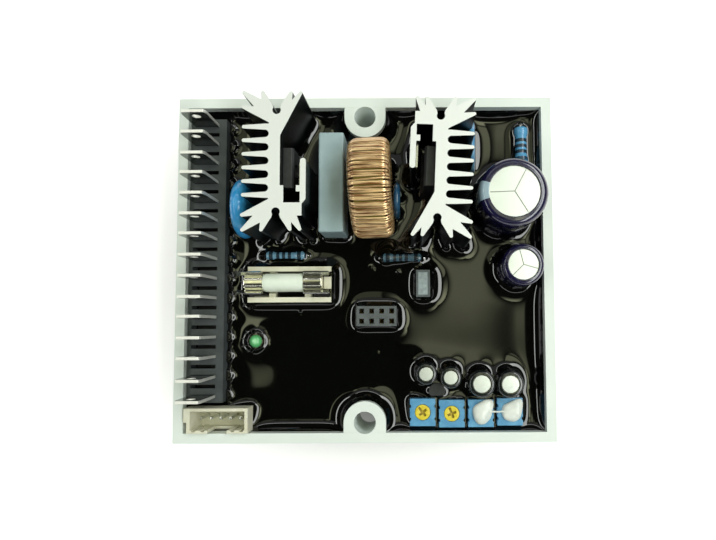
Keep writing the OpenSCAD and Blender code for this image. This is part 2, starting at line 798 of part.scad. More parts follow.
module large_can() can(large_at, large_d, large_h, 62, true);
module large_sleeve() sleeve(large_at, large_d, large_h);
module medium_can() can(medium_at, medium_d, medium_h, 104, true);
module medium_sleeve() sleeve(medium_at, medium_d, medium_h);
module small_can(i) can(small_at[i], small_d[i], small_h, 30, false);
module small_sleeve(i) sleeve(small_at[i], small_d[i], small_h);

// Height of a resistor's axis, which lets it sit a little way into the resin
function resistor_z(d) = resin_top + 0.36 * d;
power_resistor_at = [right - power_resistor_from_right, far - power_resistor_from_far];
lead_reach = 1;

// Puts children on a resistor's axis
module at_resistor(at, d, turn = 0) {
    translate([at[0], at[1], resistor_z(d)]) rotate([0, 90, turn]) children();
}

module lead_circles(l, grow = 0) {
    for (side = [-1, 1]) translate([side * (l / 2 + lead_reach), 0]) circle(d = lead_d + 2 * grow);
}

// Dipped resistor with bulging end caps, on leads bent down to the board
module resistor(at, d, l, turn = 0) {
    waist = 0.84;
    cap_l = 0.2 * l;
    at_resistor(at, d, turn) {
        cylinder(d = waist * d, h = l - 0.6, center = true);
        for (side = [-1, 1])
            translate([0, 0, side * (l - cap_l) / 2])
                rotate_extrude() {
                    translate([0, -cap_l / 2]) square([d / 2 - 0.4, cap_l]);
                    translate([0, -cap_l / 2 + 0.4]) square([d / 2, cap_l - 0.8]);
                    for (end = [-1, 1])
                        translate([d / 2 - 0.4, end * (cap_l / 2 - 0.4)]) circle(0.4, $fn = 24);
                }
        cylinder(d = lead_d, h = l + 2 * lead_reach, center = true);
    }
    translate([at[0], at[1], board_top])
        linear_extrude(resistor_z(d) - board_top) rotate(turn) lead_circles(l);
    translate([at[0], at[1], resistor_z(d)])
        rotate(turn)
            for (side = [-1, 1]) translate([side * (l / 2 + lead_reach), 0]) sphere(d = lead_d);
}

module resistor_left() color([0.5, 0.65, 0.72]) resistor(resistor_left_at, resistor_d, resistor_l);
module resistor_middle() color([0.25, 0.35, 0.42]) resistor(resistor_middle_at, resistor_d, resistor_l);
module power_resistor()
    color([0.2, 0.42, 0.65]) resistor(power_resistor_at, power_resistor_d, power_resistor_l, 90);

// Open holder: a base, two side walls, cross walls under the fuse and an end stop
module fuse_holder() {
    cross_t = 1.7;
    cross_h = 1.9;
    cross_x = 4.6;
    stop_w = 3.1;
    stop_h = 2.6;
    stop_x = fuse_at[0] + fuse_l / 2 + 0.1 - holder_at[0];
    fuse_y = fuse_at[1] - holder_at[1];
    color([0.88, 0.86, 0.76])
        translate([holder_at[0], holder_at[1], board_top])
            difference() {
                union() {
                    translate([-holder_l / 2, -holder_w / 2, 0]) cube([holder_l, holder_w, holder_base_t]);
                    for (side = [-1, 1]) {
                        translate([-holder_l / 2, side * (holder_w - holder_wall) / 2 - holder_wall / 2, 0])
                            cube([holder_l, holder_wall, holder_h]);
                        translate([side * cross_x - cross_t / 2, -holder_w / 2, 0])
                            cube([cross_t, holder_w, holder_base_t + cross_h]);
                    }
                    translate([stop_x, fuse_y - stop_w / 2, 0])
                        cube([holder_l / 2 - stop_x, stop_w, holder_base_t + stop_h]);
                }
                // Room for the fuse and its clips
                translate([-holder_l, fuse_y, fuse_z - board_top])
                    rotate([0, 90, 0]) cylinder(r = fuse_d / 2 + fuse_clip_t + 0.12, h = holder_l + stop_x);
                translate([-holder_l, fuse_y - fuse_foot_w / 2 - 0.1, holder_base_t])
                    cube([holder_l + stop_x, fuse_foot_w + 0.2, holder_h]);
            }
}

// Spring clip round an end cap, seen along X: an open ring with flared lips on a flat foot
module fuse_clip_section() {
    inner = fuse_d / 2 + 0.02;
    outer = inner + fuse_clip_t;
    mouth = 52;
    lip = 1.3;
    foot_z = board_top + holder_base_t - fuse_z;
    difference() {
        union() {
            circle(outer);
            translate([-fuse_foot_w / 2, foot_z]) square([fuse_foot_w, fuse_clip_t]);
        }
        circle(inner);
        polygon([[0, 0], 3 * outer * [-sin(mouth), cos(mouth)], 3 * outer * [sin(mouth), cos(mouth)]]);
    }
    for (side = [-1, 1])
        rotate(side * mouth) translate([-fuse_clip_t / 2, inner]) rotate(-side * mouth + side * 38)
            translate([-fuse_clip_t / 2, 0.05]) square([fuse_clip_t, lip]);
}

module fuse_clip(end) {
    x = fuse_at[0] + end * (fuse_l / 2 - clip_l / 2 + clip_overhang);
    color([0.85, 0.84, 0.8])
        difference() {
            translate([x, fuse_at[1], fuse_z])
                rotate([90, 0, 90]) linear_extrude(clip_l, center = true) fuse_clip_section();
            // The jaws stand out past the end stop, the foot does not
            translate([fuse_at[0] + end * (fuse_l / 2 + clip_l / 2), fuse_at[1], fuse_z - 1.2 - fuse_d / 2])
                cube([clip_l, fuse_d + 2, fuse_d], center = true);
        }
}

// Puts children on the fuse's axis
module at_fuse() {
    translate([fuse_at[0], fuse_at[1], fuse_z]) rotate([0, 90, 0]) children();
}

module fuse_tube() {
    color([0.95, 0.96, 0.95])
        at_fuse() {
            cylinder(d = fuse_tube_d, h = fuse_l - 1.2, center = true);
            cylinder(d = fuse_d - 0.1, h = fuse_l - 2 * fuse_cap_l, center = true);
        }
}

module fuse_cap(end) {
    color([0.86, 0.85, 0.82])
        at_fuse()
            difference() {
                translate([0, 0, end * (fuse_l - fuse_cap_l) / 2])
                    rotate_extrude() {
                        translate([0, -fuse_cap_l / 2 + 0.3]) square([fuse_d / 2, fuse_cap_l - 0.6]);
                        translate([0, -fuse_cap_l / 2]) square([fuse_d / 2 - 0.3, fuse_cap_l]);
                    }
                cylinder(d = fuse_tube_d + 0.02, h = fuse_l - 1.18, center = true);
            }
}

// Domed lamp on a flange
module indicator_lamp() {
    flange_d = lamp_d + 0.8;
    flange_t = 1;
    color([0.4, 0.72, 0.45])
        translate([lamp_at[0], lamp_at[1], board_top]) {
            cylinder(d = flange_d, h = flange_t);
            cylinder(d = lamp_d, h = lamp_h - lamp_d / 2);
            translate([0, 0, lamp_h - lamp_d / 2]) sphere(d = lamp_d);
        }
}

// Places of the socket header's holes
module at_sockets() {
    for (col = [0 : socket_cols - 1], row = [0 : socket_rows - 1])
        translate([socket_at[0] + (col - (socket_cols - 1) / 2) * socket_pitch,
                   socket_at[1] + (row - (socket_rows - 1) / 2) * socket_pitch, board_top]) children();
}

socket_hole = 1.15;
module socket_header() {
    mouth = 1.35;
    mouth_depth = 0.45;
    color([0.22, 0.23, 0.24])
        difference() {
            translate([socket_at[0] - socket_size[0] / 2, socket_at[1] - socket_size[1] / 2, board_top])
                cube([socket_size[0], socket_size[1], socket_h]);
            at_sockets() {
                translate([-socket_hole / 2, -socket_hole / 2, 1])
                    cube([socket_hole, socket_hole, socket_h]);
                translate([-mouth / 2, -mouth / 2, socket_h - mouth_depth]) cube([mouth, mouth, 1]);
            }
        }
}

// Folded contacts at the bottom of the socket holes
module socket_contacts() {
    outer = socket_hole - 0.06;
    inner = 0.55;
    contact_h = 4.2;
    color([0.8, 0.68, 0.4])
        at_sockets()
            difference() {
                translate([-outer / 2, -outer / 2, 1]) cube([outer, outer, contact_h]);
                translate([-inner / 2, -inner / 2, 1.6]) cube([inner, inner, contact_h]);
            }
}

module plug_outline(grow = 0) {
    corner_cut = [0.75, 2.7];
    difference() {
        square([plug_size[0] + 2 * grow, plug_size[1] + 2 * grow], center = true);
        translate([-plug_size[0] / 2 - 1 - grow, -plug_size[1] / 2 - 1 - grow])
            square([corner_cut[0] + 1 - grow, corner_cut[1] + 1 - grow]);
    }
}

// Shrouded header with a window and keying slots in its near wall
module plug_header() {
    window_w = 4.8;
    window_x = 0.4;
    key_w = 0.9;
    key_x = [-5.5, -3.2, 4.2, 6.4];
    room = [plug_size[0] - 2 * plug_wall - 0.9, plug_size[1] - 2 * plug_wall];
    color([0.9, 0.89, 0.8])
        translate([plug_at[0], plug_at[1], board_top])
            difference() {
                linear_extrude(plug_size[2]) plug_outline();
                translate([-room[0] / 2 + 0.4, -room[1] / 2, plug_floor])
                    cube([room[0], room[1], plug_size[2]]);
                translate([window_x - window_w / 2, -plug_size[1] / 2 - 1, plug_floor + 2])
                    cube([window_w, plug_wall + 1.1, plug_size[2]]);
                for (x = key_x)
                    translate([x - key_w / 2, -plug_size[1] / 2 + plug_wall / 2, plug_floor])
                        cube([key_w, plug_wall, plug_size[2]]);
                at_plug_pins() cube([pin_t + 2 * fit, pin_t + 2 * fit, 4 * plug_floor], center = true);
            }
}

module at_plug_pins() {
    for (i = [0 : plug_pins - 1])
        translate([(i - (plug_pins - 1) / 2) * plug_pitch + 0.5, 0.3, 0]) children();
}

module plug_pins_row() {
    pin_h = plug_size[2] - 2.4;
    tip = 0.2;
    color([0.84, 0.84, 0.82])
        translate([plug_at[0], plug_at[1], board_top])
            at_plug_pins() {
                translate([-pin_t / 2, -pin_t / 2, 0]) cube([pin_t, pin_t, pin_h - tip]);
                translate([tip - pin_t / 2, tip - pin_t / 2, 0])
                    cube([pin_t - 2 * tip, pin_t - 2 * tip, pin_h]);
            }
}

// Trimmer's housing, with a round well for the rotor and a bore for its stub
module trimmer_body(i) {
    top = trimmer_size[2];
    color([0.36, 0.64, 0.86])
        translate([trimmer_at[i][0], trimmer_at[i][1], board_top])
            difference() {
                union() {
                    linear_extrude(top - 0.25) round_rect(trimmer_size, 0.4);
                    linear_extrude(top) round_rect([trimmer_size[0] - 0.5, trimmer_size[1] - 0.5], 0.4);
                }
                translate([0, 0, top - well_depth])
                    cylinder(d = rotor_d + 2 * rotor_gap, h = well_depth + 1);
                translate([0, 0, top - well_depth - stub_h - 0.2])
                    cylinder(d = stub_d + 2 * rotor_gap, h = stub_h + 1);
            }
}

// Puts children in the well of one trimmer
module at_rotor(i) {
    z = board_top + trimmer_size[2] - well_depth + rotor_lift;
    translate([trimmer_at[i][0], trimmer_at[i][1], z]) children();
}

// Turning rotor with a cross slot, one arm of it long to show the setting
module trimmer_rotor(i) {
    slot = [0.6, 0.55];
    color([0.92, 0.85, 0.25])
        at_rotor(i)
            difference() {
                union() {
                    cylinder(d = rotor_d, h = rotor_h);
                    translate([0, 0, -stub_h]) cylinder(d = stub_d, h = stub_h + tiny);
                }
                translate([-slot[0] / 2, -0.3 * rotor_d, rotor_h - slot[1]])
                    cube([slot[0], 0.72 * rotor_d, 1]);
                translate([-0.3 * rotor_d, -slot[0] / 2, rotor_h - slot[1]])
                    cube([0.6 * rotor_d, slot[0], 1]);
            }
}

// Drop of compound that locks a trimmer that has been set
module sealant(i) {
    drop_h = 1.3;
    drop_r = (sealant_d * sealant_d / 4 + drop_h * drop_h) / (2 * drop_h);
    color([0.95, 0.96, 0.95])
        translate([trimmer_at[i][0], trimmer_at[i][1], board_top + trimmer_size[2]])
            intersection() {
                translate([0, 0, drop_h - drop_r]) sphere(drop_r);
                cylinder(d = sealant_d + 1, h = drop_h + 1);
            }
}

module small_transistor_outline(grow = 0) {
    intersection() {
        circle(small_transistor_r + grow);
        translate([-2 * small_transistor_r, -small_transistor_flat - grow]) square(4 * small_transistor_r);
    }
}

module small_transistor() {
    color([0.2, 0.2, 0.2])
        translate([small_transistor_at[0], small_transistor_at[1], board_top])
            linear_extrude(small_transistor_h + 1.2) small_transistor_outline();
}

tray();
circuit_board();
control_chip();
potting_resin();
terminal_block();
terminal_tabs();
heat_sink(true);  // heat_sink_left
heat_sink(false);  // heat_sink_right
power_transistor(true);  // power_transistor_left
power_transistor(false);  // power_transistor_right
spring_clip(true);  // spring_clip_left
spring_clip(false);  // spring_clip_right
film_capacitor();
box_capacitor();
choke_core();
choke_winding();
varistor(0);  // varistor_left
varistor(1);  // varistor_right
disc_capacitor();
large_can();
large_sleeve();
medium_can();
medium_sleeve();
small_can(0);  // small_can_1
small_can(1);  // small_can_2
small_can(2);  // small_can_3
small_can(3);  // small_can_4
small_sleeve(0);  // small_sleeve_1
small_sleeve(1);  // small_sleeve_2
small_sleeve(2);  // small_sleeve_3
small_sleeve(3);  // small_sleeve_4
resistor_left();
resistor_middle();
power_resistor();
fuse_holder();
fuse_clip(-1);  // fuse_clip_left
fuse_clip(1);  // fuse_clip_right
fuse_tube();
fuse_cap(-1);  // fuse_cap_left
fuse_cap(1);  // fuse_cap_right
indicator_lamp();
socket_header();
socket_contacts();
plug_header();
plug_pins_row();
trimmer_body(0);  // trimmer_body_1
trimmer_body(1);  // trimmer_body_2
trimmer_body(2);  // trimmer_body_3
trimmer_body(3);  // trimmer_body_4
trimmer_rotor(0);  // trimmer_rotor_1
trimmer_rotor(1);  // trimmer_rotor_2
trimmer_rotor(2);  // trimmer_rotor_3
trimmer_rotor(3);  // trimmer_rotor_4
sealant(2);  // sealant_3
sealant(3);  // sealant_4
small_transistor();
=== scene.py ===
# %% [markdown]
# # An automatic voltage regulator, potted in an open tray
# The real object is a shallow white tray. A circuit board lies at its bottom, and the maker fills the
# tray with black resin until only the tops of the parts stand out. The solids come from a CAD model in
# millimetres, and this lesson gives them their looks: soft edges, wire, epoxy skins, metal, and the
# resin's curved surface.

# %% Load the solid model
import math
import random

import bmesh
import bpy
import numpy as np
from mathutils import Matrix, Vector
from mathutils.bvhtree import BVHTree


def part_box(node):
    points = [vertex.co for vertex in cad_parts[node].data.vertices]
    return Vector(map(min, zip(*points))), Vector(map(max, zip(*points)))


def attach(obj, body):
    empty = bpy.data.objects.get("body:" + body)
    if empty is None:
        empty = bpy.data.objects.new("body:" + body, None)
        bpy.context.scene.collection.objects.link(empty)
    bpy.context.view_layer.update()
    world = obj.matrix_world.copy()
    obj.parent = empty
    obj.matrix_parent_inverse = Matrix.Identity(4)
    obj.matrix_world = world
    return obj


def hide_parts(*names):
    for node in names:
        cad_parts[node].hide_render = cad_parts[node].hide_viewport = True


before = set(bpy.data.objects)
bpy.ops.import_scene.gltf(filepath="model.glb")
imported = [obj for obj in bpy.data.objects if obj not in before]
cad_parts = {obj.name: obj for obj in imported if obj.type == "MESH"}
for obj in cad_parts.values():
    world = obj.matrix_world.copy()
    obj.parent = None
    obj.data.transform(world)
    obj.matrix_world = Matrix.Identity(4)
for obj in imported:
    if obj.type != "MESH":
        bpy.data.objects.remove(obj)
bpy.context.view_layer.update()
MM = 0.001
# heights in millimetres where the parts' wires and sleeves end, below the resin's level, and a lead's radius
CHOKE_END, WIRE_END, SLEEVE_END, LEAD_R = 8.0, 7.7, 7.6, 0.35
chance = random.Random(11)
print("solids loaded:", len(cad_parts))

# %% [markdown]
# ## Selecting in code
# By hand you click what an operator should act on. In a script the same is done by name and by place: one
# helper makes a single object active, and another picks faces or edges of it with a test of your own.
# Places and sizes come from the boxes of the CAD solids.


# %% Helpers for picking and placing
def only(piece):
    """Makes one object the selected and active one, in object mode."""
    if bpy.context.object and bpy.context.object.mode != "OBJECT":
        bpy.ops.object.mode_set(mode="OBJECT")
    bpy.ops.object.select_all(action="DESELECT")
    piece.select_set(True)
    bpy.context.view_layer.objects.active = piece


def edit(piece, select="DESELECT"):
    """Opens one object in edit mode with all or nothing selected."""
    only(piece)
    bpy.ops.object.mode_set(mode="EDIT")
    bpy.ops.mesh.select_mode(type="FACE")
    bpy.ops.mesh.select_all(action=select)


def close_edit():
    """Goes back to object mode."""
    bpy.ops.object.mode_set(mode="OBJECT")


def pick(piece, test, what="faces"):
    """Selects the faces or edges of the open mesh that pass a test."""
    bpy.ops.mesh.select_mode(type={"faces": "FACE", "edges": "EDGE"}[what])
    bpy.ops.mesh.select_all(action="DESELECT")
    mesh = bmesh.from_edit_mesh(piece.data)
    for part in getattr(mesh, what):
        part.select_set(bool(test(part)))
    mesh.select_flush_mode()
    bmesh.update_edit_mesh(piece.data)


def move(x, y, z):
    """The settings that make an extrude operator move what it made, in millimetres."""
    return {"value": (x * MM, y * MM, z * MM)}


def span(node):
    """The low and the high corner of a solid's box, in millimetres."""
    return [[c / MM for c in corner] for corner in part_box(node)]


def centre_of(node):
    """The centre of a solid's box, in millimetres."""
    return [(a + b) / 2 for a, b in zip(*span(node))]


def under_top(node, wide):
    """The centre of a round part of a diameter that reaches up to the top of a solid's box."""
    x, y, _ = centre_of(node)
    return [x, y, span(node)[1][2] - wide / 2]


def put(name, data):
    """A new object in the scene that holds a mesh, a curve, a camera or a lamp."""
    item = bpy.data.objects.new(name, data)
    bpy.context.scene.collection.objects.link(item)
    return item


# %% [markdown]
# ## Finishing a piece
# A bevel modifier rounds the edges, because no moulded or sawn edge is perfectly sharp and a small round
# catches the light. Then the object's place goes into its mesh, it gets its finish, and it rides on a
# body of the model.


# %% Helpers for finishing
def soften(piece, width, segments=2, angle=40):
    """Rounds the edges that are sharper than an angle by a width in millimetres."""
    only(piece)
    bevel = piece.modifiers.new("soft edges", "BEVEL")
    bevel.width = width * MM
    bevel.segments = segments
    bevel.limit_method = "ANGLE"
    bevel.angle_limit = math.radians(angle)
    bevel.use_clamp_overlap = True
    bpy.ops.object.modifier_apply(modifier=bevel.name)
    # where two edges left no room for a round, the strip between them has no width and is merged away
    edit(piece, "SELECT")
    bpy.ops.mesh.remove_doubles(threshold=0.004 * MM)
    bpy.ops.mesh.dissolve_degenerate(threshold=0.004 * MM)
    close_edit()


def settle(piece, name, finish, replaces=(), body="unit", angle=38, flat=False):
    """Names a piece, puts its place in its mesh, and gives it its finish and its body."""
    only(piece)
    bpy.ops.object.transform_apply(location=True, rotation=True, scale=True)
    bpy.ops.object.shade_smooth_by_angle(angle=math.radians(angle))
    if flat:
        # large faces stay flat to the eye and only their rounded edges shade softly
        even = piece.modifiers.new("flat faces", "WEIGHTED_NORMAL")
        even.keep_sharp = True
        bpy.ops.object.modifier_apply(modifier=even.name)
    piece.name = name
    piece.data.name = name
    piece.data.materials.clear()
    piece.data.materials.append(finish)
    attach(piece, body)
    if replaces:
        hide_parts(*replaces)
    print(name, len(piece.data.polygons), "faces")
    return piece


def copy_solid(node, whole=True):
    """A copy of a CAD solid, welded and, if asked, with its flat faces made whole."""
    piece = put(node + "_copy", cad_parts[node].data.copy())
    edit(piece, "SELECT")
    bpy.ops.mesh.customdata_custom_splitnormals_clear()
    bpy.ops.mesh.remove_doubles(threshold=0.002 * MM)
    if whole:
        bpy.ops.mesh.dissolve_limited(angle_limit=math.radians(0.6))
    close_edit()
    return piece


def block(size, centre):
    """A cube primitive at its size and place in millimetres."""
    bpy.ops.mesh.primitive_cube_add(size=1, location=[c * MM for c in centre])
    piece = bpy.context.object
    piece.scale = [s * MM for s in size]
    bpy.ops.object.transform_apply(location=True, rotation=True, scale=True)
    return piece


def turned(profile, steps=48):
    """A point extruded along a profile of (radius, height) in millimetres, then spun once round Z."""
    bpy.ops.mesh.primitive_plane_add(size=MM)
    piece = bpy.context.object
    bpy.ops.object.mode_set(mode="EDIT")
    bpy.ops.mesh.select_mode(type="VERT")
    bpy.ops.mesh.select_all(action="SELECT")
    bpy.ops.mesh.merge(type="CENTER")
    bpy.ops.mesh.select_all(action="SELECT")
    bpy.ops.transform.translate(value=(profile[0][0] * MM, 0, profile[0][1] * MM))
    for (r0, z0), (r1, z1) in zip(profile, profile[1:]):
        bpy.ops.mesh.extrude_region_move(TRANSFORM_OT_translate=move(r1 - r0, 0, z1 - z0))
    bpy.ops.mesh.select_all(action="SELECT")
    bpy.ops.mesh.spin(steps=steps, angle=math.tau, center=(0, 0, 0), axis=(0, 0, 1))
    bpy.ops.mesh.select_all(action="SELECT")
    bpy.ops.mesh.remove_doubles(threshold=0.003 * MM)
    bpy.ops.mesh.normals_make_consistent(inside=False)
    close_edit()
    return piece


def stand(piece, at, along="z"):
    """Moves a turned piece from the origin to its place, with its axis along x, y or z."""
    turns = {"x": (0, math.pi / 2, 0), "y": (-math.pi / 2, 0, 0), "z": (0, 0, 0)}
    piece.rotation_euler = turns[along]
    piece.location = [c * MM for c in at]
    return piece


def join(pieces):
    """Joins several objects into the first."""
    only(pieces[0])
    for piece in pieces:
        piece.select_set(True)
    bpy.ops.object.join()
    return pieces[0]


def wire(points, radius, sides=2):
    """A round wire along points in millimetres, made as a bevelled curve and turned into a mesh."""
    curve = bpy.data.curves.new("wire", "CURVE")
    curve.dimensions = "3D"
    curve.bevel_depth = radius * MM
    curve.bevel_resolution = sides
    curve.use_fill_caps = True
    run = curve.splines.new("POLY")
    run.points.add(len(points) - 1)
    for point, place in zip(run.points, points):
        point.co = (place[0] * MM, place[1] * MM, place[2] * MM, 1)
    only(put("wire", curve))
    bpy.ops.object.convert(target="MESH")
    edit(bpy.context.object, "SELECT")
    bpy.ops.mesh.remove_doubles(threshold=0.002 * MM)
    bpy.ops.mesh.normals_make_consistent(inside=False)
    close_edit()
    return bpy.context.object


# %% [markdown]
# ## Finishes
# Each finish begins with what the real stuff is. Colours are written as sRGB hex values, as a colour
# picker shows them, and turned to the linear values that the shader works with. Patterns are measured in
# millimetres.


# %% Helpers for finishes
def linear(code):
    """Turns a hex colour into linear red, green, blue and alpha."""
    parts = [int(code[i:i + 2], 16) / 255 for i in (1, 3, 5)]
    return [c / 12.92 if c <= 0.04045 else ((c + 0.055) / 1.055) ** 2.4 for c in parts] + [1.0]


def new_finish(name, colour, **sockets):
    """A material with one Principled shader and its plain values."""
    finish = bpy.data.materials.new(name)
    finish.use_nodes = True
    shader = finish.node_tree.nodes["Principled BSDF"]
    shader.inputs["Base Color"].default_value = linear(colour)
    for socket, value in sockets.items():
        shader.inputs[socket.replace("_", " ")].default_value = value
    return finish, shader


def add(finish, kind, settings, links=()):
    """Adds one node: settings are its properties or socket values, links are the outputs wired into it."""
    made = finish.node_tree.nodes.new("ShaderNode" + kind)
    for key, value in settings.items():
        if isinstance(key, str) and hasattr(made, key):
            setattr(made, key, value)
        else:
            made.inputs[key].default_value = value
    for key, source in dict(links).items():
        feed(made, key, source)
    return made


def feed(node, socket, source):
    """Wires an output into a socket of a node."""
    node.id_data.links.new(source, node.inputs[socket])


def maths(finish, how, first, second=0.0):
    """Works out something from two values, each an output of a node or a plain number."""
    made = add(finish, "Math", {"operation": how})
    for place, value in enumerate((first, second)):
        if isinstance(value, float):
            made.inputs[place].default_value = value
        else:
            feed(made, place, value)
    return made.outputs[0]


def here(finish):
    """The object's own coordinates, so that a pattern stays with the piece."""
    return add(finish, "TexCoord", {}).outputs["Object"]


def noise(finish, size, detail, stretch=(1, 1, 1)):
    """Noise whose features are a size in millimetres across, scaled along each axis by a stretch."""
    drawn = add(finish, "Mapping", {"Scale": stretch}, {"Vector": here(finish)})
    settings = {"Scale": 1 / (size * MM), "Detail": detail}
    return add(finish, "TexNoise", settings, {"Vector": drawn.outputs["Vector"]}).outputs[0]


def tint(finish, shader, share, *colours):
    """Colours a finish by a ramp of places and hex colours, read at a share from 0 to 1."""
    ramp = add(finish, "ValToRGB", {}, {"Fac": share})
    row = ramp.color_ramp.elements
    while len(row) < len(colours):
        row.new(1.0)
    for element, (place, code) in zip(row, colours):
        element.position = place
        element.color = linear(code)
    feed(shader, "Base Color", ramp.outputs["Color"])
    return ramp.outputs["Color"]


def emboss(finish, shader, height, strength, depth):
    """Lets a pattern raise the surface to the eye, by a depth in millimetres."""
    bump = add(finish, "Bump", {"Strength": strength, "Distance": depth * MM}, {"Height": height})
    feed(shader, "Normal", bump.outputs["Normal"])


# %% [markdown]
# ### Moulded plastics
# Moulded plastic copies the spark-eroded texture of its mould, so under a lamp it shows a fine grain of
# about a tenth to a third of a millimetre and a satin highlight. The colour drifts slightly from place to
# place.


# %% Plastic finishes
def moulded(name, rough, colour, dark, light, patch, grit, depth, **sockets):
    """A plastic whose colour drifts between two tones over a patch, with a fine moulded grain."""
    finish, shader = new_finish(name, colour, Roughness=rough, **sockets)
    tint(finish, shader, noise(finish, patch, 3.0), (0.3, dark), (0.7, light))
    emboss(finish, shader, noise(finish, grit, 2.0), depth, 0.05)
    return finish


# ABS with a satin mould texture: pale, cool white with soft highlights
tray_abs = moulded("moulded ABS, cool white", 0.42, "#DEE6E2", "#D8E1DD", "#E3EAE6", 18, 0.3, 0.25)
# Glass-filled nylon: slate grey, rather dull
slate_nylon = moulded("glass-filled nylon, slate", 0.45, "#3C4244", "#363C3E", "#444A4C", 4, 0.25, 0.5)
# The slots round the tabs are painted near black: painted shade deep in the slots
slot_shade_nylon = moulded("glass-filled nylon, painted shade in slot", 0.6, "#121415", "#0E1011", "#181B1C", 1.5, 0.25, 0.5)
# Unfilled nylon: cream and a little translucent, so shade is soft
cream_nylon = moulded("nylon, cream", 0.4, "#D5D3BE", "#CFCCB6", "#DDDCCA", 3, 0.2, 0.3,
                      Subsurface_Weight=0.08, Subsurface_Radius=(1.2 * MM, 1.0 * MM, 0.7 * MM))
# Polyester box filled with resin: blue-grey, smooth with a faint orange peel
film_case = moulded("polyester case, blue-grey", 0.38, "#96ACB2", "#8EA4AA", "#9EB4BA", 5, 0.5, 0.25)
dark_case = moulded("polyester case, dark grey", 0.42, "#4C5457", "#454D50", "#565E61", 2, 0.4, 0.3)
# The small box's top is rubbed pale, in blotches
pale_panel = moulded("polyester case, worn panel", 0.5, "#8E9A9D", "#7E8A8D", "#9CA9AC", 0.9, 0.3, 0.3)
# Epoxy moulding compound of a transistor: charcoal, matt from the mould
mould_black = moulded("epoxy moulding compound, charcoal", 0.5, "#242628", "#1F2123", "#2A2C2E", 2, 0.2, 0.5)
# Liquid-crystal polymer of a pin header: dark grey, satin
header_grey = moulded("header polymer, dark grey", 0.42, "#505658", "#484E50", "#5A6062", 2, 0.2, 0.4)
# Thermoplastic trimmer case: clear sky blue, glossy edges
trimmer_blue = moulded("trimmer case, sky blue", 0.32, "#5492BC", "#4886B2", "#62A0C6", 2.2, 0.3, 0.2)
# Rotor: a warm yellow, a little worn
rotor_yellow = moulded("rotor plastic, yellow", 0.4, "#D8C428", "#CDB71C", "#E2D044", 0.8, 0.2, 0.3)
# The screwdriver slot of a rotor is painted browner than the rest, as painted shade in the slot
rotor_slot_shade = moulded("rotor plastic, painted shade in slot", 0.6, "#9C8718", "#8A7612", "#AC9626", 0.5, 0.2, 0.3)
# Dabbed-on sealing lacquer: white and wet-looking
seal_white = moulded("sealing compound, white", 0.28, "#DDE2DD", "#D6DCD7", "#E4E8E3", 1.5, 0.6, 0.2,
                     Subsurface_Weight=0.1, Subsurface_Radius=(0.8 * MM, 0.8 * MM, 0.8 * MM))
# Steatite fuse tube: chalk white, faintly green, glazed on the outside
fuse_steatite = moulded("steatite tube, white", 0.3, "#E6F0E3", "#E0EBDD", "#ECF4E9", 3, 0.3, 0.15)
# Solder mask over glass laminate: green, sealed under the resin
board_green = moulded("solder mask, green", 0.35, "#1F5A34", "#1B5230", "#24653B", 6, 0.4, 0.2)
# Lacquer on the choke's core: ochre, slightly mottled
core_paint = moulded("core lacquer, ochre", 0.5, "#9A8A3C", "#8E7F36", "#A6964A", 3, 0.3, 0.4)
print("plastics ready")

# %% [markdown]
# ### Epoxy, film and lacquer
# A dipped disc wears a thick coat of epoxy that levels itself to a wet gloss. Heat-shrink film is thinner
# and shows faint wrinkles. The resin is the same kind of stuff as the discs' coat, cast black.

# %% Resin
resin_black, shader = new_finish("potting epoxy, black", "#050604", Roughness=0.04, IOR=1.54)
# a cast surface is never quite flat: swells of about 14 mm
emboss(resin_black, shader, noise(resin_black, 14, 1.0), 0.25, 0.25)
# settled dust makes some patches a little duller
dust = noise(resin_black, 9, 4.0)
dull = add(resin_black, "MapRange", {"To Min": 0.02, "To Max": 0.06}, {"Value": dust})
feed(shader, "Roughness", dull.outputs[0])
print("resin ready")


# %% Coats on discs, sleeves and resistors
def dipped(name, deep, thin, patch):
    """An epoxy coat that is a little paler where it ran thin."""
    finish, shader = new_finish(name, deep, Roughness=0.16, Coat_Weight=0.4, Coat_Roughness=0.06)
    flow = noise(finish, patch, 2.0)
    tint(finish, shader, flow, (0.35, deep), (0.7, thin))
    emboss(finish, shader, flow, 0.2, 0.1)
    return finish


blue_dip = dipped("dipped epoxy, blue", "#2C94DA", "#4CAAE6", 3)
# the same blue coat made paler: painted sheen for the light that the thin disc's rim mirrors
blue_dip_sheen = dipped("dipped epoxy, blue with painted sheen", "#4E8FBE", "#84B4D4", 3)
navy_dip = dipped("dipped epoxy, steel blue", "#204868", "#386386", 2)


def closer(finish, value, limit):
    """1 where a value lies within a limit of zero, and 0 elsewhere."""
    return maths(finish, "LESS_THAN", maths(finish, "ABSOLUTE", value), limit)


def shrink_film(name, deep, thin, axis=(0, 0), mark=None):
    """PVC film, with a pale polarity mark on the side that faces an angle in degrees, if any."""
    half_mark = 0.3
    finish, shader = new_finish(name, deep, Roughness=0.18, Coat_Weight=0.6, Coat_Roughness=0.08)
    pucker = noise(finish, 1.1, 2.0)
    emboss(finish, shader, pucker, 0.3, 0.08)
    colour = tint(finish, shader, pucker, (0.3, deep), (0.75, thin))
    if mark is not None:
        off_axis = {"Location": (-axis[0] * MM, -axis[1] * MM, 0)}
        centred = add(finish, "Mapping", off_axis, {"Vector": here(finish)})
        facing = {"rotation_type": "Z_AXIS", "Angle": -math.radians(mark)}
        turned_to = add(finish, "VectorRotate", facing, {"Vector": centred.outputs["Vector"]})
        parts = add(finish, "SeparateXYZ", {}, {"Vector": turned_to.outputs["Vector"]}).outputs
        slope = maths(finish, "ARCTAN2", parts["Y"], parts["X"])
        both = add(finish, "Mix", {"data_type": "RGBA", 7: linear("#8FA6B4")},
                   {"Factor": closer(finish, slope, half_mark), 6: colour})
        feed(shader, "Base Color", both.outputs[2])
    return finish


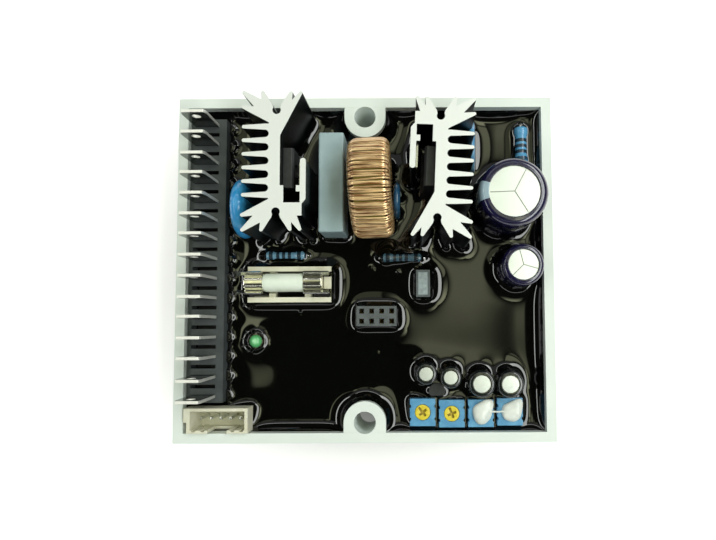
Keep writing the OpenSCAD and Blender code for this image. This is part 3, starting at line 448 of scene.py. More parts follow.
def banded(name, body, axis, centre, spots):
    """Resistor lacquer with rings of colour, each a place and half-width in millimetres along an axis."""
    finish, shader = new_finish(name, body, Roughness=0.25, Coat_Weight=0.3, Coat_Roughness=0.15)
    along = add(finish, "SeparateXYZ", {}, {"Vector": here(finish)}).outputs[axis]
    below = {}
    for spot, half, code in spots:
        gap = maths(finish, "SUBTRACT", along, (centre + spot) * MM)
        layer = add(finish, "Mix", {"data_type": "RGBA", 6: linear(body), 7: linear(code)},
                    {"Factor": closer(finish, gap, half * MM), **below})
        below = {6: layer.outputs[2]}
    feed(shader, "Base Color", below[6])
    emboss(finish, shader, noise(finish, 1.2, 1.0), 0.25, 0.1)
    return finish


print("coats ready")

# %% Lamp epoxy
# tinted epoxy of a lamp, with painted light: deep green low in its wall as painted shade, paler towards the
# top as a painted highlight where the cup inside would shine
lamp_green_lit, shader = new_finish("tinted epoxy, green with painted highlight", "#74C283", Roughness=0.12)
level = add(lamp_green_lit, "SeparateXYZ", {}, {"Vector": here(lamp_green_lit)}).outputs["Z"]
top, cup_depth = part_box("indicator_lamp")[1].z, 1.3
cup = {"From Min": top - cup_depth * MM, "From Max": top}
depth = add(lamp_green_lit, "MapRange", cup, {"Value": level}).outputs[0]
lit_greens = ((0.0, "#2A6039"), (0.5, "#4C9A60"), (0.85, "#62B577"), (1.0, "#A2DEAC"))
tint(lamp_green_lit, shader, depth, *lit_greens)
print("lamp epoxy ready")

# %% [markdown]
# ### Metals
# Extruded aluminium keeps fine lines from the die along its length, while its sawn ends are bright and
# grainy. Tin plate is soft and scuffs. Enamelled copper is metal under a clear amber coat.


# %% Metal finishes
def metal(name, colour, dull, bright, stretch, line, depth, metallic=1.0):
    """Metal with fine marks of a line width, scaled along each axis by a stretch."""
    finish, shader = new_finish(name, colour, Metallic=metallic, Roughness=(dull + bright) / 2)
    marks = noise(finish, line, 3.0, stretch)
    gloss = add(finish, "MapRange", {"To Min": bright, "To Max": dull}, {"Value": marks})
    feed(shader, "Roughness", gloss.outputs[0])
    emboss(finish, shader, marks, depth, 0.02)
    return finish


even, upright = (1, 1, 1), (1, 1, 0.3)
# A saw leaves fine scratches that spread the light, so the cut ends look almost white
sawn = metal("aluminium, bright saw cut", "#E5E8E6", 0.75, 0.6, (1, 0.06, 1), 0.3, 0.5, 0.6)
# The sides are anodised black, with lines from the die along their length
anodised = metal("extruded aluminium, black anodised", "#24282C", 0.42, 0.28, (1, 1, 0.03), 0.25, 0.5)
# Bright tin on leads, clips and pins: a soft mirror with faint scuffs
tin_plate = metal("tin plate", "#D6D8D2", 0.26, 0.12, upright, 0.5, 0.3)
# The tabs' rolled strip is painted a darker tin than small parts' plating: painted shade on its faces
tab_tin_shaded = metal("tin plate, painted shade on tab faces", "#7C7F7B", 0.26, 0.12, upright, 0.5, 0.3)
# Cut edges are rough; the tip's top and the hole's wall are painted pale as a painted highlight
tip_highlight_tin = metal("tin plate, painted highlight on cut edge", "#F2F2EC", 0.6, 0.45, upright, 0.2, 0.5, 0.5)
# the side edges are rougher and keep a paler tin than the faces, partly the cut and partly painted light
side_edge_tin = metal("tin plate, dull edge painted lighter", "#D6D7D2", 0.55, 0.4, upright, 0.2, 0.5, 0.6)
# Drawn can: satin from the press, with score lines that the vent bursts along
can_bright = metal("drawn aluminium, satin", "#D4DAD7", 0.52, 0.4, even, 0.6, 0.2)
# the score lines are painted darker than the can: painted shade in the shallow grooves
score_line_shade = metal("drawn aluminium, painted shade in score line", "#8C8E8A", 0.5, 0.4, even, 0.4, 0.2)
# Nickel on the fuse's caps: nearly a mirror, faintly warm
nickel = metal("nickel plate", "#D6D3C6", 0.26, 0.14, even, 0.8, 0.2)
# Spring steel: a cool mirror with marks from drawing
spring_steel = metal("spring steel, polished", "#C4C5C4", 0.3, 0.18, (1, 1, 0.2), 0.4, 0.3)
# Contacts sit deep in their holes, so their bronze is painted dark as painted shade
contact_bronze_shaded = metal("contact bronze, painted shade", "#54472F", 0.5, 0.36, (1, 1, 0.5), 0.5, 0.2)
# Enamel over copper: pale, warm metal, each turn a little lighter or darker
copper, shader = new_finish("enamelled copper wire", "#D4A066", Metallic=0.6, Roughness=0.28,
                            Coat_Weight=0.5, Coat_Roughness=0.12)
tint(copper, shader, noise(copper, 0.6, 2.0, (0.1, 1, 1)), (0.36, "#8A5A2E"), (0.62, "#F4D29C"))
print("metals ready")

# %% [markdown]
# ## The tray
# A tray is one injection moulding. By hand you would inset the top of a block and push the middle down,
# which leaves walls of even thickness. The two fixing bosses are then added as solids and drilled, as
# moulding cores do.

# %% Mould the tray
TRAY_SIZE, WALL, TRAY_FLOOR, DRAFT = (96, 88, 16), 2.5, 2.5, 0.996
BOSS_SIZE, BOSS_Y, BOSS_Z = (10.6, 9.3, 14), 38.35, 9
HOLE_Y, HOLE_R = 39, 2.75
tray = block(TRAY_SIZE, (0, 0, TRAY_SIZE[2] / 2))
edit(tray)
pick(tray, lambda f: f.normal.z > 0.9)
bpy.ops.mesh.inset(thickness=WALL * MM)
bpy.ops.mesh.extrude_region_move(TRANSFORM_OT_translate=move(0, 0, TRAY_FLOOR - TRAY_SIZE[2]))
bpy.ops.transform.resize(value=(DRAFT, DRAFT, 1))
close_edit()


def cut(piece, tool, how):
    """Adds or takes away a tool solid with an applied boolean, then removes the tool."""
    only(piece)
    step = piece.modifiers.new("cut", "BOOLEAN")
    step.operation = how
    step.solver = "EXACT"
    step.object = tool
    bpy.ops.object.modifier_apply(modifier=step.name)
    bpy.data.objects.remove(tool, do_unlink=True)


def rod(radius, height, at, sides=64):
    """A cylinder primitive on its base point, in millimetres."""
    bpy.ops.mesh.primitive_cylinder_add(vertices=sides, radius=radius * MM, depth=height * MM,
                                        location=(at[0] * MM, at[1] * MM, (at[2] + height / 2) * MM))
    return bpy.context.object


for side in (-1, 1):
    boss = block(BOSS_SIZE, (0, side * BOSS_Y, BOSS_Z))
    edit(boss)
    # the two upright edges that face the middle of the tray become one round front
    pick(boss, lambda e: (abs(e.verts[0].co.z - e.verts[1].co.z) > BOSS_SIZE[2] / 2 * MM
                          and e.verts[0].co.y * side < BOSS_Y * MM), "edges")
    bpy.ops.mesh.bevel(offset=(BOSS_SIZE[0] / 2 - 0.01) * MM, segments=16)
    bpy.ops.mesh.select_all(action="SELECT")
    bpy.ops.mesh.remove_doubles(threshold=0.05 * MM)
    close_edit()
    cut(tray, boss, "UNION")
    cut(tray, rod(HOLE_R, 20, (0, side * HOLE_Y, -2)), "DIFFERENCE")
edit(tray, "SELECT")
bpy.ops.mesh.remove_doubles(threshold=0.01 * MM)
bpy.ops.mesh.dissolve_limited(angle_limit=math.radians(0.5))
close_edit()
soften(tray, 0.35, 3)
settle(tray, "tray_moulding", tray_abs, ["tray"], flat=True)

# %% [markdown]
# ## Bevelled copies
# Where a solid already has its final shape, a welded copy with rounded edges is all that it needs. The
# fine round on each edge is what makes an extrusion, a moulding or a clip look real instead of drawn.

# %% Soften the rigid parts
rigid = [
    ("terminal_block", slate_nylon, "block_plastic", 0.15),
    ("fuse_holder", cream_nylon, "cream_plastic", 0.15),
    ("fuse_clip_left", tin_plate, "tinned_metal", 0.06),
    ("fuse_clip_right", tin_plate, "tinned_metal", 0.06),
    ("plug_header", cream_nylon, "cream_plastic", 0.12),
    ("plug_pins_row", tin_plate, "tinned_metal", 0.08),
    ("socket_header", header_grey, "header_black", 0.08),
    ("fuse_tube", fuse_steatite, "fuse_ceramic", 0.1),
    ("fuse_cap_left", nickel, "tinned_metal", 0.15),
    ("fuse_cap_right", nickel, "tinned_metal", 0.15),
    ("small_transistor", mould_black, "moulded_black", 0.15)]


def soft_copy(node, finish, slot, width):
    """A copy of a CAD solid with its edges rounded by a width in millimetres."""
    piece = copy_solid(node)
    soften(piece, width)
    return settle(piece, node + "_soft", finish, [node], flat=True)


for row in rigid:
    soft_copy(*row)

# %% [markdown]
# ## Pieces of two finishes
# A sawn end shines where the extrusion's sides are black, a transistor stands on tinned leads, and a
# can's vent lines are painted dark as shade. Each face can carry its own material, so the faces are told
# apart by where they lie.


# %% Helpers for a second finish
def also(piece, finish, test):
    """Gives the faces that pass a test a second finish."""
    piece.data.materials.append(finish)
    spot = len(piece.data.materials) - 1
    chosen = [face for face in piece.data.polygons if test(face)]
    for face in chosen:
        face.material_index = spot
    print(piece.name, len(chosen), "faces of", finish.name)


def sunk(node, shallow, deep, radius):
    """A test for faces between two depths under a solid's top and within a radius of its axis."""
    low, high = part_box(node)
    axis = (low + high).xy / 2
    return lambda face: (high.z - deep * MM < face.center.z < high.z - shallow * MM
                         and (face.center.xy - axis).length < radius * MM)


# %% The block's slots
low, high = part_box("terminal_block")
# painted shade: the slots' walls and floors get the near-black finish
also(bpy.data.objects["terminal_block_soft"], slot_shade_nylon,
     lambda face: (face.center.z < high.z - 0.3 * MM and low.x + MM < face.center.x < high.x - 1.6 * MM
                   and low.y + MM < face.center.y < high.y - MM))

# %% Heat sinks and power transistors
LEADS_TOP = 11.45
for side in ("left", "right"):
    piece = soft_copy("heat_sink_" + side, anodised, "sink_aluminium", 0.08)
    also(piece, sawn, lambda face: abs(face.normal.z) > 0.4)
for side in ("left", "right"):
    piece = soft_copy("power_transistor_" + side, mould_black, "moulded_black", 0.15)
    also(piece, tin_plate, lambda face: face.center.z < LEADS_TOP * MM)

# %% Small cans and spring clips, round enough as they are
thin = [(f"small_can_{i}", can_bright, "can_aluminium") for i in (1, 2, 3, 4)]
thin += [(f"spring_clip_{side}", spring_steel, "spring_steel") for side in ("left", "right")]
for node, finish, slot in thin:
    settle(copy_solid(node, whole=False), node + "_soft", finish, [node], angle=30)
print("small cans and spring clips:", len(thin))

# %% Cans with score lines
for node, can_d in (("large_can", 16), ("medium_can", 10)):
    piece = copy_solid(node, whole=False)
    settle(piece, node + "_soft", can_bright, [node], angle=30)
    also(piece, score_line_shade, sunk(node, 0.02, 0.2, 0.4 * can_d))

# %% [markdown]
# ## Trimmers
# A trimmer is a blue box with small notches down its sides and a round well for the rotor. All four are
# alike, so one is moulded and copied. Each rotor turns in its well, and its slot is painted browner than
# its face, as painted shade.

# %% Mould one trimmer and copy it
low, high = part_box("trimmer_body_1")
case_size = [c / MM for c in high - low]
notch_size, notch_places, well_r, well_depth = (0.6, 0.7, 9), (-1.7, 1.5), 2.0, 1.2
case = block(case_size, (0, 0, case_size[2] / 2))
for side in (-1, 1):
    for along in notch_places:
        notch = block(notch_size, (side * case_size[0] / 2, along, case_size[2] / 2))
        cut(case, notch, "DIFFERENCE")
cut(case, rod(well_r, 2, (0, 0, case_size[2] - well_depth)), "DIFFERENCE")
soften(case, 0.15)
for i in (1, 2, 3, 4):
    node = f"trimmer_body_{i}"
    low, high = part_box(node)
    piece = put("case", case.data.copy())
    piece.location = ((low.x + high.x) / 2, (low.y + high.y) / 2, low.z)
    settle(piece, node + "_soft", trimmer_blue, [node], flat=True)
bpy.data.objects.remove(case, do_unlink=True)

# %% Turn the rotors
# each rotor's number, and the angle in degrees that it was left at
for i, set_to in ((1, 40), (2, 22), (3, 0), (4, 0)):
    node = f"trimmer_rotor_{i}"
    low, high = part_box(node)
    axis = (low + high).xy / 2
    piece = copy_solid(node)
    centre = Matrix.Translation((axis.x, axis.y, 0))
    piece.data.transform(centre @ Matrix.Rotation(math.radians(set_to), 4, "Z") @ centre.inverted())
    soften(piece, 0.1)
    # the two rotors under the compound can't turn, so they ride on the unit
    body = f"rotor_{i}" if i < 3 else "unit"
    settle(piece, node + "_soft", rotor_yellow, [node], body)
    also(piece, rotor_slot_shade, sunk(node, 0.06, 0.6, 1.7))

# %% [markdown]
# ## Push-on tabs
# The tabs are stamped from tinned brass strip: a blade with cornered shoulders at its tip and a dimple
# hole that the receptacle snaps into. One is cut and softened, then copied along the block, each a little
# out of true.

# %% Stamp one tab and copy it
low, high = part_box("terminal_tabs")
TAB_WIDE, TAB_THICK, TAB_PITCH, TAB_COUNT = 6.3, 0.8, 5, 15
tip, tip_wide, hole_drop, hole_r = 1.2, 5.4, 2.7, 1.0
first_y = high.y / MM - TAB_THICK / 2
tab_x = low.x / MM + TAB_WIDE / 2
tab_z = (low.z / MM, high.z / MM)
pattern = block((TAB_WIDE, TAB_THICK, tab_z[1] - tab_z[0] - tip), (tab_x, 0, (sum(tab_z) - tip) / 2))
edit(pattern)
pick(pattern, lambda f: f.normal.z > 0.9)
bpy.ops.mesh.extrude_region_move(TRANSFORM_OT_translate=move(0, 0, tip))
bpy.ops.transform.resize(value=(tip_wide / TAB_WIDE, 1, 1), center_override=(tab_x * MM, 0, tab_z[1] * MM))
close_edit()
drill = rod(hole_r, 4, (0, 0, 0), 32)
drill.rotation_euler = (math.pi / 2, 0, 0)
hole_z = tab_z[1] - hole_drop
drill.location = (tab_x * MM, 0, hole_z * MM)
cut(pattern, drill, "DIFFERENCE")
soften(pattern, 0.18, 3)
tabs = []
for i in range(TAB_COUNT):
    tab = put("tab", pattern.data.copy())
    lean = Matrix.Rotation(math.radians(chance.uniform(-0.9, 0.9)), 4, "X")
    foot = Matrix.Translation((0, 0, tab_z[0] * MM))
    along = Matrix.Translation((0, (first_y - TAB_PITCH * i) * MM, 0))
    tab.data.transform(along @ foot @ lean @ foot.inverted())
    tabs.append(tab)
bpy.data.objects.remove(pattern, do_unlink=True)
tabs = settle(join(tabs), "push_on_tabs", tab_tin_shaded, ["terminal_tabs"], flat=True)


def is_lit_cut(face):
    """Tells the tip's top and the wall of the hole, which get a painted highlight, from the other faces of a
    tab.
    """
    from_hole = math.hypot(face.center.x / MM - tab_x, face.center.z / MM - hole_z)
    on_tip = face.normal.z > 0.6 and face.center.z > (tab_z[1] - 0.4) * MM
    return on_tip or from_hole < hole_r + 0.25 and abs(face.normal.y) < 0.8


# painted highlight on the tip and the hole, and paler painted side edges
also(tabs, tip_highlight_tin, is_lit_cut)
also(tabs, side_edge_tin, lambda face: abs(face.normal.x) > 0.6 and abs(face.center.x - tab_x * MM) > 2 * MM)

# %% [markdown]
# ## Film capacitors
# A film capacitor is a moulded box turned over its winding and filled from below. The edges are rounded
# by the mould, and the top is very slightly dished because the plastic shrinks as it cools.


# %% Box the two capacitors
def dished_box(node, rim, slope, dish):
    """A box in the place of a CAD solid, whose top sinks inside a rim by a dish, all in millimetres."""
    low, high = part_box(node)
    case = block([c / MM for c in high - low], [c / MM for c in (low + high) / 2])
    edit(case)
    pick(case, lambda f: f.normal.z > 0.9)
    bpy.ops.mesh.inset(thickness=rim * MM)
    bpy.ops.mesh.inset(thickness=slope * MM, depth=-dish * MM)
    close_edit()
    return case


film = dished_box("film_capacitor", 0.7, 0.5, 0.08)
soften(film, 0.45, 4)
settle(film, "film_capacitor_case", film_case, ["film_capacitor"], flat=True)
small_box = dished_box("box_capacitor", 0.5, 0.12, 0.1)
soften(small_box, 0.15, 2, 30)
settle(small_box, "box_capacitor_case", dark_case, ["box_capacitor"], flat=True)
dish_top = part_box("box_capacitor")[1].z - 0.06 * MM
also(small_box, pale_panel, lambda face: face.normal.z > 0.95 and face.center.z < dish_top)

# %% [markdown]
# ## The choke's winding
# A toroid is wound by passing the wire through its middle again and again. The turns lie side by side on
# the outside, pile up in layers inside, and wander a little. A spun or arrayed turn would be too even, so
# the wire is drawn as one long curve whose points are worked out turn by turn.

# %% Wind the wire
low, high = span("choke_winding")
hub = centre_of("choke_winding")
outer, half = (high[2] - low[2]) / 2 - 0.3, (high[0] - low[0]) / 2
gauge, turn_count = 0.25, 128
sway = [[chance.uniform(-0.45, 0.45) for _ in range(turn_count + 1)] for _ in range(3)]
lift = [chance.choice((0, 0, 0, 0.1, 0.22)) for _ in range(turn_count + 1)]


def turn_section(layer, rise):
    """Points of one turn, as (radius, offset on the axis), from the left over the top and back inside."""
    top, side, bend = outer - gauge - 0.22 + rise, half - gauge - 0.05, 1.9
    bottom = 5.0 + 0.62 * layer
    deep = side - 0.55 * layer
    quarter = np.linspace(0, math.pi / 2, 5)
    arc = [(top - bend * (1 - math.cos(a)), side - bend * (1 - math.sin(a))) for a in quarter]
    inner = [((top + bottom) / 2, side), (bottom + 1.2, deep), (bottom + 0.35, deep - 0.35),
             (bottom, deep - 1.2)]
    left_arc, left_inner = [(r, -o) for r, o in reversed(arc)], [(r, -o) for r, o in reversed(inner)]
    return left_arc + [(top, 0)] + arc + inner + [(bottom, 0)] + left_inner


path = []
lean = math.radians(2.7)
for i in range(turn_count):
    ring = turn_section(i % 3, lift[i])
    for k, (radius, offset) in enumerate(ring):
        share = (offset + half) / (2 * half)
        wander = sway[0][i] * (1 - share) + sway[1][i] * share + 0.5 * sway[2][i] * math.sin(math.pi * share)
        # inside the ring the wire lies half a turn further on
        inside = 0.5 if k > 11 else 0.0
        angle = math.tau * (i + 0.5 * k / len(ring) + inside + wander) / turn_count - math.pi / 2
        up = radius * math.cos(angle)
        path.append((hub[0] + offset * math.cos(lean) - up * math.sin(lean),
                     hub[1] + offset * math.sin(lean) + up * math.cos(lean),
                     hub[2] + radius * math.sin(angle)))
path = [(path[0][0], path[0][1] - 0.5, CHOKE_END)] + path + [(path[-1][0], path[-1][1] + 0.5, CHOKE_END)]
winding = wire(path, gauge, 1)
settle(winding, "choke_wire", copper, ["choke_winding"], angle=60)

# %% [markdown]
# ## Dipped discs
# A varistor is a pressed disc on two wires, dipped in epoxy that rounds every edge and runs a little way
# down the wires. The disc is spun from half of its section, and each wire is drawn as a curve.


# %% Spin the discs
def dipped_disc(node, name, finish, wide, thick, run, lean=0):
    """A lens-edged disc on two wires, in the place of a CAD solid; run is how far epoxy runs down the wires.

    lean tips the disc over, in degrees, about a point of its wires below the resin's level."""
    tip_z = 9
    at = under_top(node, wide)
    r, h = wide / 2, thick / 2
    curve = [(r - h * (1 - math.sin(a)) * 1.15, h * math.cos(a)) for a in np.linspace(0, math.pi, 13)]
    disc = turned([(0, h * 1.02), (r * 0.5, h * 1.02)] + curve + [(r * 0.5, -h * 1.02), (0, -h * 1.02)], 64)
    stand(disc, at, "x")
    bare = []
    skins = [disc]
    for side in (-1, 1):
        x, y = at[0] + side * thick / 6, at[1] + side * wide / 4
        bare.append(wire([(x, y, at[2]), (x, y, WIRE_END)], LEAD_R))
        drop = turned([(0, -run), (0.36, -run), (0.42, -run * 0.7), (0.7, -run * 0.2), (1.0, 0.8),
                       (0.9, 1.6), (0, 1.6)], 20)
        skins.append(stand(drop, (x, y, at[2] - r * 0.86), "z"))
    foot = Matrix.Translation((at[0] * MM, at[1] * MM, tip_z * MM))
    tip_over = foot @ Matrix.Rotation(math.radians(-lean), 4, "Y") @ foot.inverted()
    disc = settle(join(skins), name, finish, [node])
    disc.data.transform(tip_over)
    wires = settle(join(bare), name + "_wires", tin_plate)
    wires.data.transform(tip_over)


dipped_disc("varistor_left", "varistor_left_dip", blue_dip, 15, 4, 1.2)
dipped_disc("varistor_right", "varistor_right_dip", blue_dip_sheen, 13.4, 1.7, 0.8, 6)
dipped_disc("disc_capacitor", "disc_capacitor_dip", navy_dip, 9.4, 1.7, 1.0)

# %% [markdown]
# ## Shrink sleeves
# Each electrolytic can wears a film sleeve that is shrunk on with hot air, so it hugs the can, rounds its
# shoulder and ends in a slightly thick, curled lip on the top. It is spun from its section.


# %% Spin the sleeves
def sleeve(node, name, finish, can_r, can_h, lip_r):
    """A film sleeve over a can of a radius and height, open to lip_r on the top."""
    film, shoulder = 0.2, 0.18 * can_r
    skin, groove, bend = can_r + film, 0.1 * can_h, shoulder + film
    arc = [(can_r - shoulder + bend * math.cos(a), can_h - shoulder + bend * math.sin(a))
           for a in np.linspace(0, math.pi / 2, 9)]
    top = can_h + film
    lip = [(lip_r + 0.25, top + 0.02), (lip_r + 0.08, top + 0.06), (lip_r - 0.06, top),
           (lip_r - 0.1, top - 0.12), (lip_r, can_h + 0.02)]
    waist = [(skin, 0.3), (skin, 1.2), (skin - 0.16, groove + 0.2), (skin - 0.16, groove + 0.5),
             (skin, groove + 1.2)]
    inside = [(can_r - shoulder, can_h + 0.02), (can_r + 0.02, can_h - shoulder), (can_r + 0.02, 0.3)]
    piece = stand(turned(waist + arc + lip + inside + waist[:1], 72), (*centre_of(node)[:2], SLEEVE_END))
    settle(piece, name, finish, [node])


navy = ("#0F0D2A", "#1D1B42")
large_film = shrink_film("shrink film, navy with a pale mark", *navy, centre_of("large_can"), 178)
medium_film = shrink_film("shrink film, navy", *navy)
small_film = shrink_film("shrink film, black-green", "#0A1010", "#141D1A")
sleeve("large_sleeve", "large_sleeve_film", large_film, 8, 20.3, 6.1)
sleeve("medium_sleeve", "medium_sleeve_film", medium_film, 5, 13.6, 3.8)
for i, r in ((1, 2.5), (2, 2.5), (3, 3.15), (4, 3.15)):
    sleeve(f"small_sleeve_{i}", f"small_sleeve_film_{i}", small_film, r, 11, 0.7 * r)

# %% [markdown]
# ## Resistors
# A film resistor has pressed metal caps on a ceramic rod, and lacquer over both, so its ends bulge. The
# body is spun from its dog-bone section, and its wires bend straight down into the board.


# %% Spin the resistors
def resistor(node, finish, wide, length, along):
    """A lacquered body and two bent wires in the place of a CAD solid."""
    at = under_top(node, wide)
    r, e, cap = wide / 2, length / 2, 0.2 * length
    side = [(0, e), (0.36, e), (0.55 * r, e - 0.02), (0.85 * r, e - 0.18), (r, e - 0.55), (r, e - cap + 0.3),
            (0.93 * r, e - cap - 0.15), (0.84 * r, e - cap - 0.5), (0.83 * r, 0)]
    body = stand(turned(side + [(a, -b) for a, b in side[-2::-1]], 32), at, along)
    wires = []
    for sign in (-1, 1):
        reach = [(e - 0.2, 0), (e + 0.6, 0), (e + 0.88, -0.12), (e + 1.0, -0.4), (e + 1.0, WIRE_END - at[2])]
        if along == "x":
            run = [(at[0] + sign * a, at[1], at[2] + b) for a, b in reach]
        else:
            run = [(at[0], at[1] + sign * a, at[2] + b) for a, b in reach]
        wires.append(wire(run, LEAD_R))
    settle(body, node + "_body", finish, [node])
    settle(join(wires), node + "_wires", tin_plate)


places = ((-3.7, 0.5), (-1.9, 0.42), (-0.4, 0.42), (1.1, 0.42), (3.6, 0.5))
dark, darker = [(*p, "#1E2F3A") for p in places], [(*p, "#16222B") for p in places]
pale_lacquer = banded("resistor lacquer, pale blue", "#628CA6", "X", -21.0, dark)
grey_lacquer = banded("resistor lacquer, grey blue", "#425E6E", "X", 9.4, darker)
resistor("resistor_left", pale_lacquer, 2.5, 10.2, "x")
resistor("resistor_middle", grey_lacquer, 2.5, 10.2, "x")
rings = [(-3.6, 0.5, "#1B3A52"), (-1.7, 0.45, "#192C3B"), (-0.2, 0.45, "#1F3647"), (1.3, 0.45, "#1B3040")]
resistor("power_resistor", banded("resistor lacquer, blue", "#5698C4", "Y", 32.3, rings), 3.6, 10, "y")

# %% [markdown]
# ## Indicator lamp
# The lamp is cast epoxy: a straight side and a dome that works as a lens. It is spun from its section.

# %% Spin the lamp
low, high = span("indicator_lamp")
lens_r, lens_h = 1.9, high[2] - low[2]
dome = [(lens_r * math.cos(a), lens_h - lens_r * (1 - math.sin(a))) for a in np.linspace(0, math.pi / 2, 12)]
lamp = turned([(0, 0), (lens_r - 0.05, 0), (lens_r, 0.08), (lens_r, 1.0)] + dome, 48)
stand(lamp, (*centre_of("indicator_lamp")[:2], low[2]))
settle(lamp, "indicator_lamp_lens", lamp_green_lit, ["indicator_lamp"])

# %% [markdown]
# ## Sealing compound
# After the unit is set at the factory, a drop of lacquer locks two of the trimmers. It is dabbed on, so
# it is lumpy, uneven and drags a thread from one drop to the next. A ball is flattened and its points
# pushed about.


# %% Dab the compound
def dab(node, name, seed, tail, shift=0.0):
    """A lumpy drop over a trimmer, shifted along x, with a tail drawn out to an offset in millimetres."""
    half_x, half_y, tall = 2.5, 2.4, 1.55
    low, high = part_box(node)
    at = Vector(((low.x + high.x) / 2 + shift * MM, (low.y + high.y) / 2, low.z))
    bpy.ops.mesh.primitive_ico_sphere_add(subdivisions=5, radius=1)
    piece = bpy.context.object
    luck = random.Random(seed)
    waves = [(Vector([luck.uniform(-2.4, 2.4) for _ in range(3)]), luck.uniform(0, 6)) for _ in range(7)]
    for point in piece.data.vertices:
        way = point.co.copy()
        lump = 1 + sum(0.045 * math.sin(w.dot(way) * 1.6 + p) for w, p in waves)
        pull = max(0.0, way.xy.dot(Vector(tail).normalized())) ** 3
        rise = tall * lump * max(way.z, -0.12) * (1 - 0.45 * pull)
        point.co = at + Vector((way.x * half_x * lump + tail[0] * pull,
                                way.y * half_y * lump + tail[1] * pull, rise)) * MM
    settle(piece, name, seal_white, [node])
    return at / MM


left_drop = dab("sealant_3", "sealing_drop_3", 3, (1.1, 1.2))
right_drop = dab("sealant_4", "sealing_drop_4", 8, (0.8, 1.1), 0.5)
thread = wire([left_drop + Vector((2.0, 0.5, 0.9)), left_drop + Vector((3.0, 0.55, 0.75)),
               left_drop + Vector((4.2, 0.5, 0.75)), right_drop + Vector((-1.9, 0.3, 0.9))], 0.22)
settle(thread, "sealing_thread", seal_white)

# %% [markdown]
# ## The resin's surface
# Liquid resin creeps up whatever it wets and leaves a curved fillet, the meniscus, round every part.
# Those curves draw the bright lines that show the resin at all. No edit-mode tool makes that shape, so a
# fine grid takes its heights from the rule that a still liquid obeys: its curvature is in step with its
# height above the level.

# %% Find what stands in the resin
# the resin's level, the grid's cell and how far a meniscus reaches, in millimetres
LEVEL, CELL, REACH = 11.2, 0.32, 1.8
# the height that the terminal block's feet stay under, and how far resin climbs on them and on its side
FOOT_TOP, FOOT_CLIMB, SIDE_CLIMB = 13, 1.3, 0.1
BOSS_ROUND, LAMP_ROUND = 4.6, 2.3
columns, rows = 286, 262
xs = (np.arange(columns) - (columns - 1) / 2) * CELL
ys = (np.arange(rows) - (rows - 1) / 2) * CELL
across, up = np.meshgrid(xs, ys)
wet = np.zeros((rows, columns))
feet = np.zeros((rows, columns), dtype=bool)
skip = {"potting_resin", "circuit_board", "control_chip", "choke_core"}
# how far the resin climbs on a part, in millimetres: furthest on the tray and on rough or sharp mouldings
climbs = {"tray": 3.0, "fuse_holder": 2.4, "box_capacitor": 2.3, "indicator_lamp": 1.1,
          "varistor_right": 0.6}
for name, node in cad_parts.items():
    low, high = span(name)
    if name in skip or low[2] > LEVEL or high[2] < LEVEL + 0.1:
        continue
    mesh = node.data
    tree = BVHTree.FromPolygons([v.co for v in mesh.vertices], [p.vertices for p in mesh.polygons])
    climb = climbs.get(name, 1.7)
    for j in np.nonzero((ys > low[1]) & (ys < high[1]))[0]:
        for i in np.nonzero((xs > low[0]) & (xs < high[0]))[0]:
            spot, facing, _, _ = tree.ray_cast((xs[i] * MM, ys[j] * MM, (LEVEL + 0.06) * MM), (0, 0, 1))
            if facing and facing.z > 0:
                top = spot.z / MM
                wet[j, i] = min(climb, top - LEVEL - 0.05)
                # the terminal block's smooth side hardly wets, but resin covers its low feet
                if name == "terminal_block":
                    feet[j, i] = top < FOOT_TOP
                    wet[j, i] = FOOT_CLIMB if top < FOOT_TOP else SIDE_CLIMB
# resin piles up a little beyond each foot
for _ in range(2):
    feet |= np.roll(feet, 1, 0) | np.roll(feet, -1, 0) | np.roll(feet, 1, 1) | np.roll(feet, -1, 1)
feet &= wet != SIDE_CLIMB
wet[feet] = FOOT_CLIMB
for side in (-1, 1):
    wet[np.hypot(across, up - side * HOLE_Y) < BOSS_ROUND] = climbs["tray"]


def within(name, margin):
    """The grid points inside a solid's outline box, drawn in by a margin in millimetres."""
    low, high = span(name)
    in_x = (across > low[0] + margin) & (across < high[0] - margin)
    return in_x & (up > low[1] + margin) & (up < high[1] - margin)


lamp_x, lamp_y, _ = centre_of("indicator_lamp")
from_lamp = np.hypot(across - lamp_x, up - lamp_y)
wet[from_lamp < LAMP_ROUND] = climbs["indicator_lamp"]
# the holder's open ends are bridged, so the resin meets one straight wall
wet[within("fuse_holder", 0)] = climbs["fuse_holder"]
print("grid points under parts:", int((wet > 0).sum()))

# %% Let the surface settle
SETTLING_STEPS = 260
height = wet.copy()
stuck = wet > 0
for _ in range(SETTLING_STEPS):
    around = np.zeros_like(height)
    around[1:-1, 1:-1] = height[2:, 1:-1] + height[:-2, 1:-1] + height[1:-1, 2:] + height[1:-1, :-2]
    height = np.where(stuck, wet, around / (4 + (CELL / REACH) ** 2))
    height[0], height[-1], height[:, 0], height[:, -1] = [climbs["tray"]] * 4
# lumps where wire ends lie just under the surface, and dents left by burst bubbles
bumps = ((1.5, 0.0, 0.9, 0.3), (8.3, -0.8, 0.6, 0.35), (-17.2, -11.5, 0.35, -0.2), (3.6, -21.5, 0.35, -0.2))
for bx, by, r, h in bumps:
    height += h * np.exp(-((across - bx) ** 2 + (up - by) ** 2) / r ** 2) * (~stuck)
print("highest climb", round(float(height.max()), 2), "mm")

# %% Sink the surface inside the parts
# heights from the resin's level, in millimetres
SUNK, SUNK_DEEP, HOLDER_FLOOR = -2.2, -2.6, 0.35
shore = np.zeros_like(stuck)
shore[1:-1, 1:-1] = ~(stuck[2:, 1:-1] & stuck[:-2, 1:-1] & stuck[1:-1, 2:] & stuck[1:-1, :-2])
inner = stuck & ~shore
inner[0], inner[-1], inner[:, 0], inner[:, -1] = [False] * 4
